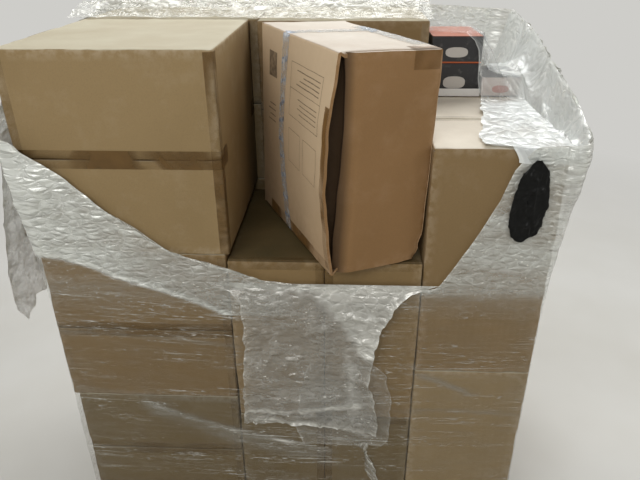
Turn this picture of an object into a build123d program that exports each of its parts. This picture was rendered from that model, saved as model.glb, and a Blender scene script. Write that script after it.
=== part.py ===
from build123d import *
from math import atan2, cos, degrees, radians, sin
import os

# A mixed load of cartons on a four-way wooden pallet, wound in stretch film.
# The film has slipped and torn open at the front, and one carton stands
# turned and leaning in the gap of the top layer.
#
# Frame: origin at the middle of the pallet's underside, +X along the pallet,
# +Y from the front of the load to its back, +Z up. Millimetres.

# Pallet
pallet_length = 1200.0
pallet_width = 800.0
board_thickness = 22.0
block_height = 78.0
wide_board = 145.0
narrow_board = 100.0
sawn_edge = 2.0  # broken edge of the sawn boards
skid_bevel = 12.0  # bevel where the forks ride over the bottom boards
corner_cut = 14.0  # trimmed outer corners of the pallet

# Corrugated board and its closures
board = 6.0
wall_radius = 5.0  # bend of the four walls
fold_radius = 4.0  # bend of the closing flaps
seam_gap = 3.0  # between the two outer flaps
recess_gap = 2.0  # under the cut end of an outer flap
recess_depth = 4.0
tape_width = 48.0
tape_thickness = 0.4
tape_wrap = 62.0  # how far the seam tape runs down the walls
tape_end_inset = 4.0

# Front row, from left to right
left_column_width = 446.0
right_column_width = 290.0
column_gap = 2.0
row_gap = 4.0
left_front_depth = 490.0
front_depth = 450.0
left_base_height = 386.0
left_base_inset = 12.0
left_middle_height = 435.0
left_top_height = 465.0
left_top_overhang = 10.0  # the top carton is a little wider than its column
centre_base_height = 326.0
centre_top_height = 478.0
right_base_height = 490.0
right_top_height = 595.0

# Back row, behind the front one
back_centre_gap = 26.0  # from the left top carton to the centre column
back_right_width = 256.0

# Leaning carton, which stands on the centre column
leaning_width = 229.0
leaning_depth = 468.0
leaning_height = 480.0
leaning_turn = 25.0
leaning_side_clearance = 9.0  # from its foot to the right column
leaning_back_clearance = 10.0  # from its back to the row behind it
leaning_contact = 0.3  # from its edge to the carton it leans on
leaning_bow = 24.0  # how far the open side panel has sprung out
leaning_slit = 9.0  # between the side panel and the closing flap
leaning_hollow_width = 92.0  # empty space behind the slit, beside the contents
leaning_hollow_depth = 120.0
inner_flap_length = 105.0
printed_tape_position = 300.0  # from the front of the leaning carton
printed_tape_clearance = 0.25  # from the bowed panel
patch_height = 42.0
patch_width = 62.0

# Retail packs on top of the back row, at the right
retail_depth = 200.0
retail_gap = 3.0
dark_pack_width = 136.0
upper_pack_height = 70.0
lower_pack_height = 68.0
tray_height = 22.0
tray_width = 146.0
tray_rim = 3.0
white_pack_width = 104.0
white_pack_height = 53.0
white_pack_depth = 167.0
pack_edge = 1.2
pack_seam = 1.0
pack_seam_depth = 1.5

# Stretch film
film_thickness = 2.0
film_clearance = 0.3  # from the tape
film_low_edge = 112.0
film_tight_drop = 87.0  # from the top of the centre column to the last tight turn
film_rise = 22.0  # above the highest carton, at the back
film_side_rise = 20.0  # above the right column, at the front
film_flare_left = 86.0
film_flare_right = 62.0
film_flare_back = 26.0
film_flare_front = 14.0
opening_foot_rise = 22.0  # from the last tight turn to the torn edge
opening_left_reach = 53.0  # of the torn edge's level part, over the left column
opening_right_reach = 35.0  # and over the right column
opening_left_strip = 10.0  # of film left at the top of the left corner
opening_right_strip = 100.0  # and of the right corner
back_fold_depth = 275.0  # film folded over the back row
right_fold_width = 150.0  # film folded over the right top carton

# Torn film that hangs at the front, and the scrap of black film
torn_offset = 0.8
tail_width = 16.0
scrap_thickness = 1.5
scrap_drop = 18.0  # from the top of the right column to the scrap

pallet_height = 3 * board_thickness + block_height
front = -pallet_width / 2
back = pallet_width / 2
left = -pallet_length / 2
right = pallet_length / 2
tape_layers = 3 * tape_thickness  # on and under two taped cartons in a stack
left_column_top = pallet_height + left_base_height + left_middle_height + left_top_height
centre_column_top = pallet_height + centre_base_height + centre_top_height + tape_layers
right_column_top = pallet_height + right_base_height + right_top_height + tape_layers
film_inside = tape_thickness + film_clearance
film_outside = film_inside + film_thickness
film_tight_top = centre_column_top - film_tight_drop
film_high_top = max(left_column_top, right_column_top) + film_rise

X, Y, Z = 0, 1, 2
UNIT = ((1, 0, 0), (0, 1, 0), (0, 0, 1))


def save(part, name):
    """Labels a finished piece and writes it as its own file."""
    part.label = name
    export_step(part, f"parts/{name}.step")


# Pallet

def sawn_board(size, centre, bevel=0.0):
    """One sawn board; the bevel is on its upper long edges, for the fork rollers."""
    low = centre[Z] - size[Z] / 2
    with BuildPart() as plank:
        with BuildSketch(Plane.XY.offset(low)):
            with Locations((centre[X], centre[Y])):
                Rectangle(size[X], size[Y])
        extrude(amount=size[Z])
        long_edges = plank.edges().filter_by(Axis.X if size[X] > size[Y] else Axis.Y)
        if bevel:
            chamfer(long_edges.group_by(Axis.Z)[-1], bevel, sawn_edge * 2)
            chamfer(plank.faces().sort_by(Axis.Z)[0].edges().filter_by(Axis.X), sawn_edge)
        else:
            chamfer(long_edges, sawn_edge)
    return plank.part


def trim_corners(part):
    """Cuts the pallet's four outer corners off at 45 degrees."""
    with BuildPart() as trimmed:
        add(part)
        with BuildSketch(Plane.XY) as outline:
            Rectangle(pallet_length, pallet_width)
            chamfer(outline.vertices(), corner_cut)
        extrude(amount=pallet_height, mode=Mode.INTERSECT)
    return trimmed.part


def make_pallet():
    """Three skids, nine blocks, three stringers and five deck boards."""
    skid_widths = (narrow_board, wide_board, narrow_board)
    skid_centres = (front + narrow_board / 2, 0.0, back - narrow_board / 2)
    names = ("front", "middle", "back")
    block_centres = (left + wide_board / 2, 0.0, right - wide_board / 2)

    for name, width, y in zip(names, skid_widths, skid_centres):
        skid = sawn_board(
            (pallet_length, width, board_thickness),
            (0.0, y, board_thickness / 2),
            bevel=skid_bevel,
        )
        save(trim_corners(skid), f"pallet_skid_{name}")
        with BuildPart() as blocks:
            with BuildSketch(Plane.XY.offset(board_thickness)):
                with Locations([(x, y) for x in block_centres]):
                    Rectangle(wide_board, width)
            extrude(amount=block_height)
            chamfer(blocks.edges().filter_by(Axis.Z), sawn_edge)
        save(trim_corners(blocks.part), f"pallet_blocks_{name}")

    stringer_level = board_thickness + block_height + board_thickness / 2
    for name, x in zip(("left", "middle", "right"), block_centres):
        stringer = sawn_board(
            (wide_board, pallet_width, board_thickness), (x, 0.0, stringer_level)
        )
        save(trim_corners(stringer), f"pallet_stringer_{name}")

    # The five deck boards share out the pallet's width with equal gaps.
    deck_widths = (wide_board, narrow_board, wide_board, narrow_board, wide_board)
    deck_gap = (pallet_width - sum(deck_widths)) / (len(deck_widths) - 1)
    deck_level = pallet_height - board_thickness / 2
    y = front
    for number, width in enumerate(deck_widths, start=1):
        deck = sawn_board(
            (pallet_length, width, board_thickness), (0.0, y + width / 2, deck_level)
        )
        save(trim_corners(deck), f"pallet_deck_board_{number}")
        y += width + deck_gap


# Cartons

def carton_frame(low, size, flaps, seam):
    """The plane at a carton's middle, with its x along the seam and its z
    through the flaps, and the carton's length, width and height in it."""
    centre = [low[i] + size[i] / 2 for i in (X, Y, Z)]
    wall = 3 - flaps - seam
    place = Plane(origin=centre, x_dir=UNIT[seam], z_dir=UNIT[flaps])
    return place, size[seam], size[wall], size[flaps]


def rounded_block(place, length, width, height, grow=0.0):
    """The outer form of a folded carton: bent walls, and flaps bent over them."""
    fold_plane = Plane(origin=place.origin, x_dir=place.y_dir, z_dir=place.x_dir)
    with BuildPart() as block:
        with BuildSketch(place.offset(-height / 2 - grow)):
            RectangleRounded(length + 2 * grow, width + 2 * grow, wall_radius + grow)
        extrude(amount=height + 2 * grow)
        with BuildSketch(fold_plane):
            RectangleRounded(width + 2 * grow, height + 2 * grow, fold_radius + grow)
        extrude(amount=length / 2 + grow, both=True, mode=Mode.INTERSECT)
    return block.part


def closed_carton(place, length, width, height):
    """A slotted carton, shut at both ends by two outer flaps that meet in a seam."""
    with BuildPart() as carton:
        add(rounded_block(place, length, width, height))
        for end in (1, -1):
            with BuildSketch(place.offset(end * height / 2)):
                Rectangle(length, seam_gap)
            extrude(amount=-end * board, mode=Mode.SUBTRACT)
            with BuildSketch(place.offset(end * (height / 2 - board))):
                with Locations((length / 2, 0), (-length / 2, 0)):
                    Rectangle(2 * recess_depth, width - 2 * board)
            extrude(amount=-end * recess_gap, mode=Mode.SUBTRACT)
    return carton.part


def closure_tape(place, length, width, height, edges=True):
    """Tape along both seams, and along the ends of the flaps if edges is set."""
    strip = tape_width / 2
    with BuildPart() as reach:
        for end in (1, -1):
            with BuildSketch(place.offset(end * (height / 2 - tape_wrap))):
                Rectangle(length + 2 * tape_thickness, tape_width)
            extrude(amount=end * (tape_wrap + tape_thickness))
            if edges:
                with BuildSketch(place.offset(end * (height / 2 - strip))):
                    with Locations((length / 2, 0), (-length / 2, 0)):
                        Rectangle(tape_width, width - 2 * tape_end_inset)
                extrude(amount=end * (strip + tape_thickness))
    with BuildPart() as tape:
        add(rounded_block(place, length, width, height, grow=tape_thickness))
        add(reach.part, mode=Mode.INTERSECT)
        add(rounded_block(place, length, width, height), mode=Mode.SUBTRACT)
    return tape.part


def make_carton(name, low, size, flaps=Y, seam=X, edges=True):
    """Writes one closed carton and its tape, and returns the height of its top."""
    place, length, width, height = carton_frame(low, size, flaps, seam)
    save(closed_carton(place, length, width, height), f"carton_{name}")
    save(closure_tape(place, length, width, height, edges), f"tape_{name}")
    return low[Z] + size[Z]


def make_column(start, footprint, cartons, flaps=Y, seam=X, edges=True):
    """Stacks cartons on the pallet from the corner start, tape to tape where it
    runs over their tops, and returns the height of the last top."""
    lift = tape_thickness if Z in (flaps, seam) else 0.0
    level = pallet_height + lift
    for name, height in cartons:
        size = (*footprint, height)
        top = make_carton(name, (*start, level), size, flaps, seam, edges)
        level = top + 2 * lift
    return top


centre_left = left + left_column_width + column_gap
right_left = right - right_column_width
centre_width = right_left - column_gap - centre_left
left_back_start = front + max(left_front_depth, front_depth) + row_gap
back_start = front + front_depth + row_gap
back_right_left = right - back_right_width
back_centre_left = centre_left - column_gap + left_top_overhang + back_centre_gap
back_centre_width = back_right_left - column_gap - back_centre_left
back_left_width = back_centre_left - column_gap - left


def make_front_row():
    """Three columns of different cartons; returns the top of each column."""
    top = make_carton(
        "left_base",
        (left + left_base_inset, front, pallet_height),
        (left_column_width - left_base_inset, left_front_depth, left_base_height),
    )
    top = make_carton(
        "left_middle",
        (left, front, top),
        (left_column_width, left_front_depth, left_middle_height),
    )
    left_top = make_carton(
        "left_top",
        (left, front, top),
        (left_column_width + left_top_overhang, left_front_depth, left_top_height),
    )
    centre_top = make_column(
        (centre_left, front),
        (centre_width, front_depth),
        (("centre_base", centre_base_height), ("centre_top", centre_top_height)),
        seam=Z,
    )
    right_top = make_column(
        (right_left, front),
        (right_column_width, front_depth),
        (("right_base", right_base_height), ("right_top", right_top_height)),
        flaps=Z,
        seam=X,
        edges=False,
    )
    return left_top, centre_top, right_top


def make_back_row():
    """Three columns behind them; returns the tops at the left and the right."""
    depth = back - back_start
    left_top = make_column(
        (left, left_back_start),
        (back_left_width, back - left_back_start),
        (
            ("back_left_base", left_base_height),
            ("back_left_middle", left_middle_height),
            ("back_left_top", left_top_height),
        ),
    )
    centre_top = make_column(
        (back_centre_left, back_start),
        (back_centre_width, depth),
        (
            ("back_centre_base", centre_base_height),
            ("back_centre_middle", centre_top_height),
        ),
        seam=Z,
    )
    cap_start = centre_top + tape_thickness
    make_carton(
        "back_centre_top",
        (back_centre_left, back_start, cap_start),
        (back_centre_width, depth, left_top - cap_start),
    )
    right_top = make_column(
        (back_right_left, back_start),
        (back_right_width, depth),
        (("back_right_base", right_base_height), ("back_right_top", right_top_height)),
        flaps=Z,
        seam=X,
        edges=False,
    )
    return left_top, right_top


# Leaning carton, open along its front left edge

def leaning_frame(foot_level, prop_level):
    """The plane at the foot of the carton's front right edge: x across the
    carton, y to its back, z up its leaning walls. It leans until that edge
    meets the side of the right column at the height prop_level."""
    turn = radians(leaning_turn)
    foot = (
        right_left - leaning_side_clearance,
        back_start - leaning_back_clearance - leaning_depth * cos(turn),
        foot_level,
    )
    reach = (leaning_side_clearance - leaning_contact) / cos(turn)
    lean = atan2(reach, prop_level - foot_level)
    across = Vector(cos(turn), sin(turn), 0)
    up = across * sin(lean) + Vector(0, 0, cos(lean))
    x_dir = across * cos(lean) - Vector(0, 0, sin(lean))
    return Plane(origin=foot, x_dir=x_dir, z_dir=up)


leaning_hinge = leaning_depth - wall_radius


def leaning_centre(place):
    """The block frame of the leaning carton: its flaps face along the depth."""
    middle = place.from_local_coords(
        Vector(-leaning_width / 2, leaning_depth / 2, leaning_height / 2)
    )
    block = Plane(origin=middle, x_dir=place.z_dir, z_dir=place.y_dir)
    return block, leaning_height, leaning_width, leaning_depth


def make_leaning_carton(place):
    """One folded blank round its contents, with its right flap over the front,
    and the left panel sprung out of the broken tape."""
    block = leaning_centre(place)
    inner_height = leaning_height - 2 * board
    with BuildPart() as carton:
        add(rounded_block(*block))
        # the hollow in front of the contents
        with BuildSketch(place.offset(board)):
            with Locations((-leaning_width + board, board)):
                Rectangle(
                    leaning_hollow_width,
                    leaning_hollow_depth,
                    align=(Align.MIN, Align.MIN),
                )
        extrude(amount=inner_height, mode=Mode.SUBTRACT)
        # the flat left panel and the slit beside it make room for the sprung one
        with BuildSketch(place.offset(board)):
            with Locations((-leaning_width, 0)):
                Rectangle(
                    board,
                    leaning_depth - 2 * wall_radius,
                    align=(Align.MIN, Align.MIN),
                )
                Rectangle(board + leaning_slit, board, align=(Align.MIN, Align.MIN))
        extrude(amount=inner_height, mode=Mode.SUBTRACT)
        # the top and bottom inner flaps, which show in the slit
        flap_width = leaning_hollow_width - leaning_slit
        for level, rise in ((board, 1), (leaning_height - board, -1)):
            with BuildSketch(place.offset(level)):
                with Locations((-leaning_width + board + leaning_slit, board)):
                    Rectangle(flap_width, board, align=(Align.MIN, Align.MIN))
            extrude(amount=rise * inner_flap_length)
        add(sprung_panel(place, 0, leaning_hinge, 0, board))
    save(carton.part, "carton_leaning")
    return carton.part


def sprung_panel(place, start, end, outside, inside):
    """The bowed left panel from y start to y end, as thick as from outside to
    inside. It turns about its hinge at the back and stands out most at the front."""
    steps = 4
    with BuildPart() as panel:
        for i in range(steps + 1):
            share = i / steps
            bow = leaning_bow * sin(radians(180 * share))
            level = board / 2 + share * (leaning_height - board)
            slope = bow / leaning_hinge
            at_start = -leaning_width - slope * (leaning_hinge - start)
            at_end = -leaning_width - slope * (leaning_hinge - end)
            with BuildSketch(place.offset(level)):
                with BuildLine():
                    Polyline(
                        (at_end + outside, end),
                        (at_end + inside, end),
                        (at_start + inside, start),
                        (at_start + outside, start),
                        close=True,
                    )
                make_face()
        loft()
    return panel.part


def make_leaning_tapes(place, carton):
    """The clear printed tape round the carton, and the brown patch at its top."""
    block, length, width, height = leaning_centre(place)
    start = printed_tape_position - tape_width / 2
    end = printed_tape_position + tape_width / 2
    shell = rounded_block(block, length, width, height, grow=tape_thickness)
    with BuildPart() as band:
        add(shell)
        with BuildSketch(place.offset(-leaning_height)):
            with Locations((0, printed_tape_position)):
                Rectangle(4 * leaning_width, tape_width)
        extrude(amount=3 * leaning_height, mode=Mode.INTERSECT)
        add(rounded_block(block, length, width, height), mode=Mode.SUBTRACT)
        # on the left it follows the sprung panel
        with BuildSketch(place.offset(fold_radius)):
            with Locations((-leaning_width, printed_tape_position)):
                Rectangle(board, tape_width)
        extrude(amount=leaning_height - 2 * fold_radius, mode=Mode.SUBTRACT)
        lift = -printed_tape_clearance
        add(sprung_panel(place, start, end, lift - tape_thickness, lift))
        add(carton, mode=Mode.SUBTRACT)
    save(band.part, "tape_printed_band")

    with BuildPart() as patch_reach:
        with BuildSketch(place.offset(leaning_height - patch_height)):
            with Locations((-wall_radius, -wall_radius)):
                Rectangle(patch_width, patch_height, align=(Align.MAX, Align.MIN))
        extrude(amount=2 * patch_height)
    with BuildPart() as patch:
        add(shell)
        add(patch_reach.part, mode=Mode.INTERSECT)
        add(rounded_block(block, length, width, height), mode=Mode.SUBTRACT)
    save(patch.part, "tape_patch")


# Retail packs

def tuck_pack(name, low, size):
    """A small printed pack with a lid that tucks in behind its front."""
    with BuildPart() as pack:
        with BuildSketch(Plane.XY.offset(low[Z])):
            with Locations((low[X], low[Y])):
                Rectangle(size[X], size[Y], align=(Align.MIN, Align.MIN))
        extrude(amount=size[Z])
        chamfer(pack.edges(), pack_edge)
        # the slit between the lid and the front panel
        slit_level = low[Z] + size[Z] - pack_edge - pack_seam
        with BuildSketch(Plane.XY.offset(slit_level)):
            with Locations((low[X] + size[X] / 2, low[Y])):
                Rectangle(size[X] - 4 * pack_edge, 2 * pack_seam_depth)
        extrude(amount=pack_seam, mode=Mode.SUBTRACT)
    save(pack.part, name)
    return low[Z] + size[Z]


def make_retail_packs(level):
    """Two dark packs on a shallow tray, and a pale pack beside them."""
    start = back_right_left + retail_gap
    with BuildPart() as tray:
        with BuildSketch(Plane.XY.offset(level)):
            with Locations((start, back_start)):
                Rectangle(tray_width, retail_depth, align=(Align.MIN, Align.MIN))
        extrude(amount=tray_height)
        upper_face = tray.faces().sort_by(Axis.Z)[-1]
        offset(amount=-tray_rim, openings=upper_face)
    save(tray.part, "retail_tray")

    pack_start = start + (tray_width - dark_pack_width) / 2
    low = (pack_start, back_start + tray_rim + 1, level + tray_rim)
    depth = retail_depth - 2 * (tray_rim + 1)
    top = tuck_pack(
        "retail_pack_lower",
        low,
        (dark_pack_width, depth, lower_pack_height + tray_height - tray_rim),
    )
    tuck_pack(
        "retail_pack_upper",
        (low[X], low[Y], top),
        (dark_pack_width, depth, upper_pack_height),
    )
    tuck_pack(
        "retail_pack_pale",
        (start + tray_width + retail_gap, back_start, level),
        (white_pack_width, white_pack_depth, white_pack_height),
    )


# Stretch film

def let_out(flare, level):
    """How far the film stands off the load at a height, inside."""
    share = (level - film_tight_top) / (film_high_top - film_tight_top)
    return film_inside + flare * share


def film_outline(level):
    """The inside of the slack film at a height."""
    to_left = let_out(film_flare_left, level)
    to_right = let_out(film_flare_right, level)
    to_front = let_out(film_flare_front, level)
    to_back = let_out(film_flare_back, level)
    with Locations(((to_right - to_left) / 2, (to_back - to_front) / 2)):
        Rectangle(
            pallet_length + to_left + to_right,
            pallet_width + to_front + to_back,
        )


def make_tight_wrap():
    """The turns that grip the lower cartons and the deck of the pallet."""
    with BuildPart() as wrap:
        with BuildSketch(Plane.XY.offset(film_low_edge)):
            inside = Rectangle(
                pallet_length + 2 * film_inside, pallet_width + 2 * film_inside
            )
            offset(amount=film_thickness)
            add(inside, mode=Mode.SUBTRACT)
        extrude(amount=film_tight_top - film_low_edge)
    save(wrap.part, "film_tight_wrap")


def make_loose_wrap(back_level, right_level):
    """The upper turns: slack, torn open at the front and folded over the top."""
    overshoot = 60.0
    foot_level = film_tight_top + opening_foot_rise
    side_top = right_column_top + film_side_rise
    with BuildPart() as wrap:
        for level in (film_tight_top, film_high_top):
            with BuildSketch(Plane.XY.offset(level)):
                film_outline(level)
                offset(amount=film_thickness)
        loft()
        for level in (film_tight_top, film_high_top):
            with BuildSketch(Plane.XY.offset(level)):
                film_outline(level)
        loft(mode=Mode.SUBTRACT)
        # the torn opening, through the front only
        with BuildSketch(Plane.XZ.offset(pallet_width / 2 - overshoot)):
            with BuildLine():
                Polyline(
                    (centre_left - opening_left_reach, foot_level),
                    (right_left + opening_right_reach, foot_level),
                    (right - opening_right_strip, side_top),
                    (right - opening_right_strip, film_high_top),
                    (left + opening_left_strip, film_high_top),
                    (left + opening_left_strip, side_top),
                    close=True,
                )
            make_face()
        extrude(amount=3 * overshoot, mode=Mode.SUBTRACT)
        # the top edge climbs from the front to the back
        with BuildSketch(Plane.YZ.offset(-pallet_length)):
            with BuildLine():
                Polyline(
                    (front - overshoot, side_top),
                    (back + overshoot, film_high_top),
                    (back + overshoot, film_high_top + overshoot),
                    (front - overshoot, film_high_top + overshoot),
                    close=True,
                )
            make_face()
        extrude(amount=2 * pallet_length, mode=Mode.SUBTRACT)
        # film folded over the back row, and over the right top carton
        level = back_level + film_clearance
        edge = back + let_out(film_flare_back, level) + film_thickness / 2
        with BuildSketch(Plane.XY.offset(level)):
            with Locations((left, edge)):
                Rectangle(
                    back_right_left - left,
                    edge - back + back_fold_depth,
                    align=(Align.MIN, Align.MAX),
                )
        extrude(amount=film_thickness)
        level = right_level + film_inside
        edge = right + let_out(film_flare_right, level) + film_thickness / 2
        with BuildSketch(Plane.XY.offset(level)):
            with Locations((edge, front)):
                Rectangle(
                    edge - right + right_fold_width,
                    front_depth,
                    align=(Align.MAX, Align.MIN),
                )
        extrude(amount=film_thickness)
    save(wrap.part, "film_loose_wrap")


def hanging_film(name, corner, outline, thickness, setback):
    """A flat piece of film in front of the load, cut to an outline (x, z) that
    is measured from the corner."""
    origin = (corner[0], front - setback, corner[1])
    with BuildPart() as piece:
        with BuildSketch(Plane(origin=origin, x_dir=UNIT[X], z_dir=(0, -1, 0))):
            with BuildLine():
                Polyline(*outline, close=True)
            make_face()
        extrude(amount=thickness)
    save(piece.part, name)


def make_torn_film():
    """The torn end that hangs over the front with its tail, and a black scrap."""
    setback = film_outside + torn_offset
    scrap_top = right_column_top - scrap_drop
    hanging_film(
        "film_torn_end",
        (centre_left, film_tight_top),
        (
            (-23, 10),
            (152, 6),
            (442, 14),
            (378, -62),
            (352, -182),
            (402, -317),
            (406, -462),
            (334 + tail_width, -484),
            (348 + tail_width, -562),
            (368 + tail_width, -626),
            (362, -626),
            (338, -562),
            (330, -486),
            (172, -410),
            (14, -396),
            (30, -222),
            (30, -42),
        ),
        film_thickness,
        setback,
    )
    hanging_film(
        "film_black_scrap",
        (right, scrap_top),
        (
            (-70, 0),
            (-47, -26),
            (-37, -92),
            (-48, -172),
            (-95, -191),
            (-114, -166),
            (-116, -104),
            (-96, -24),
        ),
        scrap_thickness,
        let_out(film_flare_front, scrap_top) + film_thickness + film_clearance,
    )


os.makedirs("parts", exist_ok=True)
make_pallet()
left_level, centre_level, right_level = make_front_row()
back_left_level, back_right_level = make_back_row()
leaning_place = leaning_frame(centre_level + 2 * tape_thickness, right_level)
leaning_carton = make_leaning_carton(leaning_place)
make_leaning_tapes(leaning_place, leaning_carton)
make_retail_packs(back_right_level + tape_thickness)
make_tight_wrap()
make_loose_wrap(back_left_level, right_level)
make_torn_film()
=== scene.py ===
"""Looks for the shrink wrapped pallet load: cartons, tape, pallet and film round the CAD frame."""

import math

import bpy
import numpy as np
from mathutils import Matrix, Vector


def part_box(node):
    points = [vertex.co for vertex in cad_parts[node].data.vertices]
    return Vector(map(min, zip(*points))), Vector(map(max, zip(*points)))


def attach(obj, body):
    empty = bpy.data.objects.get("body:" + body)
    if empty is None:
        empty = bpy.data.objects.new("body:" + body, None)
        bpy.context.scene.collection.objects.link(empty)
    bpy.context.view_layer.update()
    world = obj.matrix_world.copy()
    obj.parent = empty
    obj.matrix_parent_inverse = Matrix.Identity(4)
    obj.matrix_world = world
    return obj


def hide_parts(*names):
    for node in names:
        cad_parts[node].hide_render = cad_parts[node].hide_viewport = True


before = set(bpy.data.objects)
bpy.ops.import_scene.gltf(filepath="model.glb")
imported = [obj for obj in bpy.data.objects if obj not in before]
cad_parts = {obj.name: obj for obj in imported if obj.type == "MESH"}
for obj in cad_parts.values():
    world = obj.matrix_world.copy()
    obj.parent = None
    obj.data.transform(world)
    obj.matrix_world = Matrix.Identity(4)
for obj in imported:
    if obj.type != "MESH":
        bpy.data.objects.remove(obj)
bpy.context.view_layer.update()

X, Y, Z = 0, 1, 2

# Numbers


def grid(first, second):
    """Every pair of two lists of values as two long lists, the first running fastest."""
    return (values.reshape(-1) for values in np.meshgrid(first, second))


def stack(x, y, z):
    """Points (N, 3) from arrays or numbers that fit each other."""
    return np.column_stack([values.ravel() for values in np.broadcast_arrays(x, y, z)])


def smoothstep(low, high, value):
    t = np.clip((value - low) / (high - low), 0, 1)
    return t * t * (3 - 2 * t)


def fade(value, reach):
    """1 at 0, falling away within a reach."""
    return np.exp(-value / reach)


def spline(points, value):
    """Values read between points (position, value), without overshoot."""
    positions, values = zip(*points)
    return np.interp(value, positions, values)


def lines_at(lines, x, z, blur):
    """How strongly a point lies on lines, each a path as x, z; a width; a strength."""
    total = np.zeros(np.shape(x))
    for path, width, strength in lines:
        first, last = path[0][0], path[-1][0]
        ends = smoothstep(first - blur, first + blur, x) * smoothstep(last + blur, last - blur, x)
        total += strength * ends * np.exp(-((z - spline(path, x)) / width) ** 2)
    return total


# Noise: smooth values from an integer lattice, the same on every run


def lattice(cells, seed):
    """A value from -1 to 1 for each integer cell (N, 3)."""
    x = cells.astype(np.uint64)
    h = x[:, 0] * np.uint64(73856093)
    h ^= x[:, 1] * np.uint64(19349663)
    h ^= x[:, 2] * np.uint64(83492791)
    h ^= np.uint64(seed * 2654435761 % 2**32)
    h = (h ^ (h >> np.uint64(15))) * np.uint64(2246822519)
    h &= np.uint64(0xFFFFFFFF)
    h = (h ^ (h >> np.uint64(13))) * np.uint64(3266489917)
    h &= np.uint64(0xFFFFFFFF)
    h ^= h >> np.uint64(16)
    return h.astype(np.float64) / 2**31 - 1.0


def value_noise(points, seed):
    """Smooth noise, -1 to 1, at points (N, 3) given in cells."""
    above_zero = 4096.0
    shifted = points + above_zero
    base = np.floor(shifted)
    t = shifted - base
    t = t * t * t * (t * (t * 6 - 15) + 10)
    base = base.astype(np.int64)
    total = np.zeros(len(points))
    for corner in range(8):
        step = np.array([corner & 1, corner >> 1 & 1, corner >> 2 & 1])
        weight = np.prod(np.where(step, t, 1 - t), axis=1)
        total += weight * lattice(base + step, seed)
    return total


def octave_sum(points, cell, octaves, layer, finer, weaker):
    """The mean of noise layers, each finer and weaker than the one before."""
    scaled = points / np.array(cell, float)
    total, weight, top = np.zeros(len(points)), 1.0, 0.0
    for octave in range(octaves):
        total += weight * layer(scaled * finer**octave, octave)
        top += weight
        weight *= weaker
    return total / top


def fractal(points, cell, seed, octaves=3):
    """Soft noise; cell is the largest cell, a number or x, y, z."""
    return octave_sum(points, cell, octaves, lambda at, k: value_noise(at, seed + k * 17), 2, 0.5)


def creases(points, cell, seed, octaves=3):
    """Sharp ridges, 0 to 1, like the folds of crumpled film."""
    def ridges(at, octave):
        return (1 - np.abs(value_noise(at, seed + octave * 31))) ** 3
    return octave_sum(points, cell, octaves, ridges, 1.9, 0.55)


def on_grid(noise, x, y, z, *settings):
    """A noise at points from arrays or numbers, in the shape of those arrays."""
    return noise(stack(x, y, z), *settings).reshape(np.broadcast(x, y, z).shape)


# Meshes


def new_mesh(name, points, faces, material, **attributes):
    """A smooth object from points (N, 3) and faces, with float attributes on its points."""
    mesh = bpy.data.meshes.new(name)
    mesh.from_pydata([tuple(p) for p in points], [], [tuple(f) for f in faces])
    mesh.update()
    for key, values in attributes.items():
        layer = mesh.attributes.new(key, "FLOAT", "POINT")
        layer.data.foreach_set("value", np.asarray(values, np.float32))
    mesh.polygons.foreach_set("use_smooth", [True] * len(mesh.polygons))
    mesh.materials.append(material)
    obj = bpy.data.objects.new(name, mesh)
    bpy.context.scene.collection.objects.link(obj)
    return obj


def make_piece(name, slot, nodes, points, faces, material, **attributes):
    """A piece on the load's body, with the CAD nodes that it stands for. slot is not used."""
    obj = new_mesh(name, points, faces, material, **attributes)
    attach(obj, "root")
    if nodes:
        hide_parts(*nodes)


def grid_faces(rows, columns, offset=0):
    """Quads of a grid of points, row by row."""
    corners = ((i * columns + j + offset) for i in range(rows - 1) for j in range(columns - 1))
    return [(a, a + 1, a + columns + 1, a + columns) for a in corners]


def flipped(faces):
    return [face[::-1] for face in faces]


def weld(points, faces, places=6):
    """Joins the points that lie on each other."""
    _, first, index = np.unique(np.round(points, places), axis=0, return_index=True,
                                return_inverse=True)
    index = index.reshape(-1)
    joined = [tuple(int(index[k]) for k in face) for face in faces]
    return points[first], [face for face in joined if len(set(face)) > 2]


def join(parts):
    """Several (points, faces) as one."""
    points, faces, offset = [], [], 0
    for part, part_faces in parts:
        points.append(part)
        faces += [tuple(k + offset for k in face) for face in part_faces]
        offset += len(part)
    return np.concatenate(points), faces


# Shaders


class Value:
    """What a node gives out. Sums and products of values are new nodes."""

    def __init__(self, shade, socket):
        self.shade, self.socket = shade, socket

    def math(self, operation, other=0.0, clamp=False):
        node = self.shade.add("ShaderNodeMath", self, other, operation=operation, use_clamp=clamp)
        return Value(self.shade, node.outputs[0])

    def __add__(self, other):
        return self.math("ADD", other)

    def __sub__(self, other):
        return self.math("SUBTRACT", other)

    def __mul__(self, other):
        return self.math("MULTIPLY", other)

    def __truediv__(self, other):
        return self.math("DIVIDE", other)

    def plus(self, other):
        """The sum, kept from 0 to 1."""
        return self.math("ADD", other, clamp=True)

    def times(self, other):
        """The product, kept from 0 to 1."""
        return self.math("MULTIPLY", other, clamp=True)

    def ramp(self, *stops):
        """A colour ramp; each stop is a position and a colour or a grey level."""
        node = self.shade.add("ShaderNodeValToRGB", self)
        elements = node.color_ramp.elements
        while len(elements) < len(stops):
            elements.new(0.5)
        for element, (position, colour) in zip(elements, stops):
            element.position = position
            grey = isinstance(colour, (int, float))
            element.color = (colour,) * 3 + (1,) if grey else (*colour, 1)
        return Value(self.shade, node.outputs["Color"])

    def rise(self, low, high):
        """0 up to low, 1 from high."""
        return self.ramp((low, 0.0), (high, 1.0))


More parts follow.
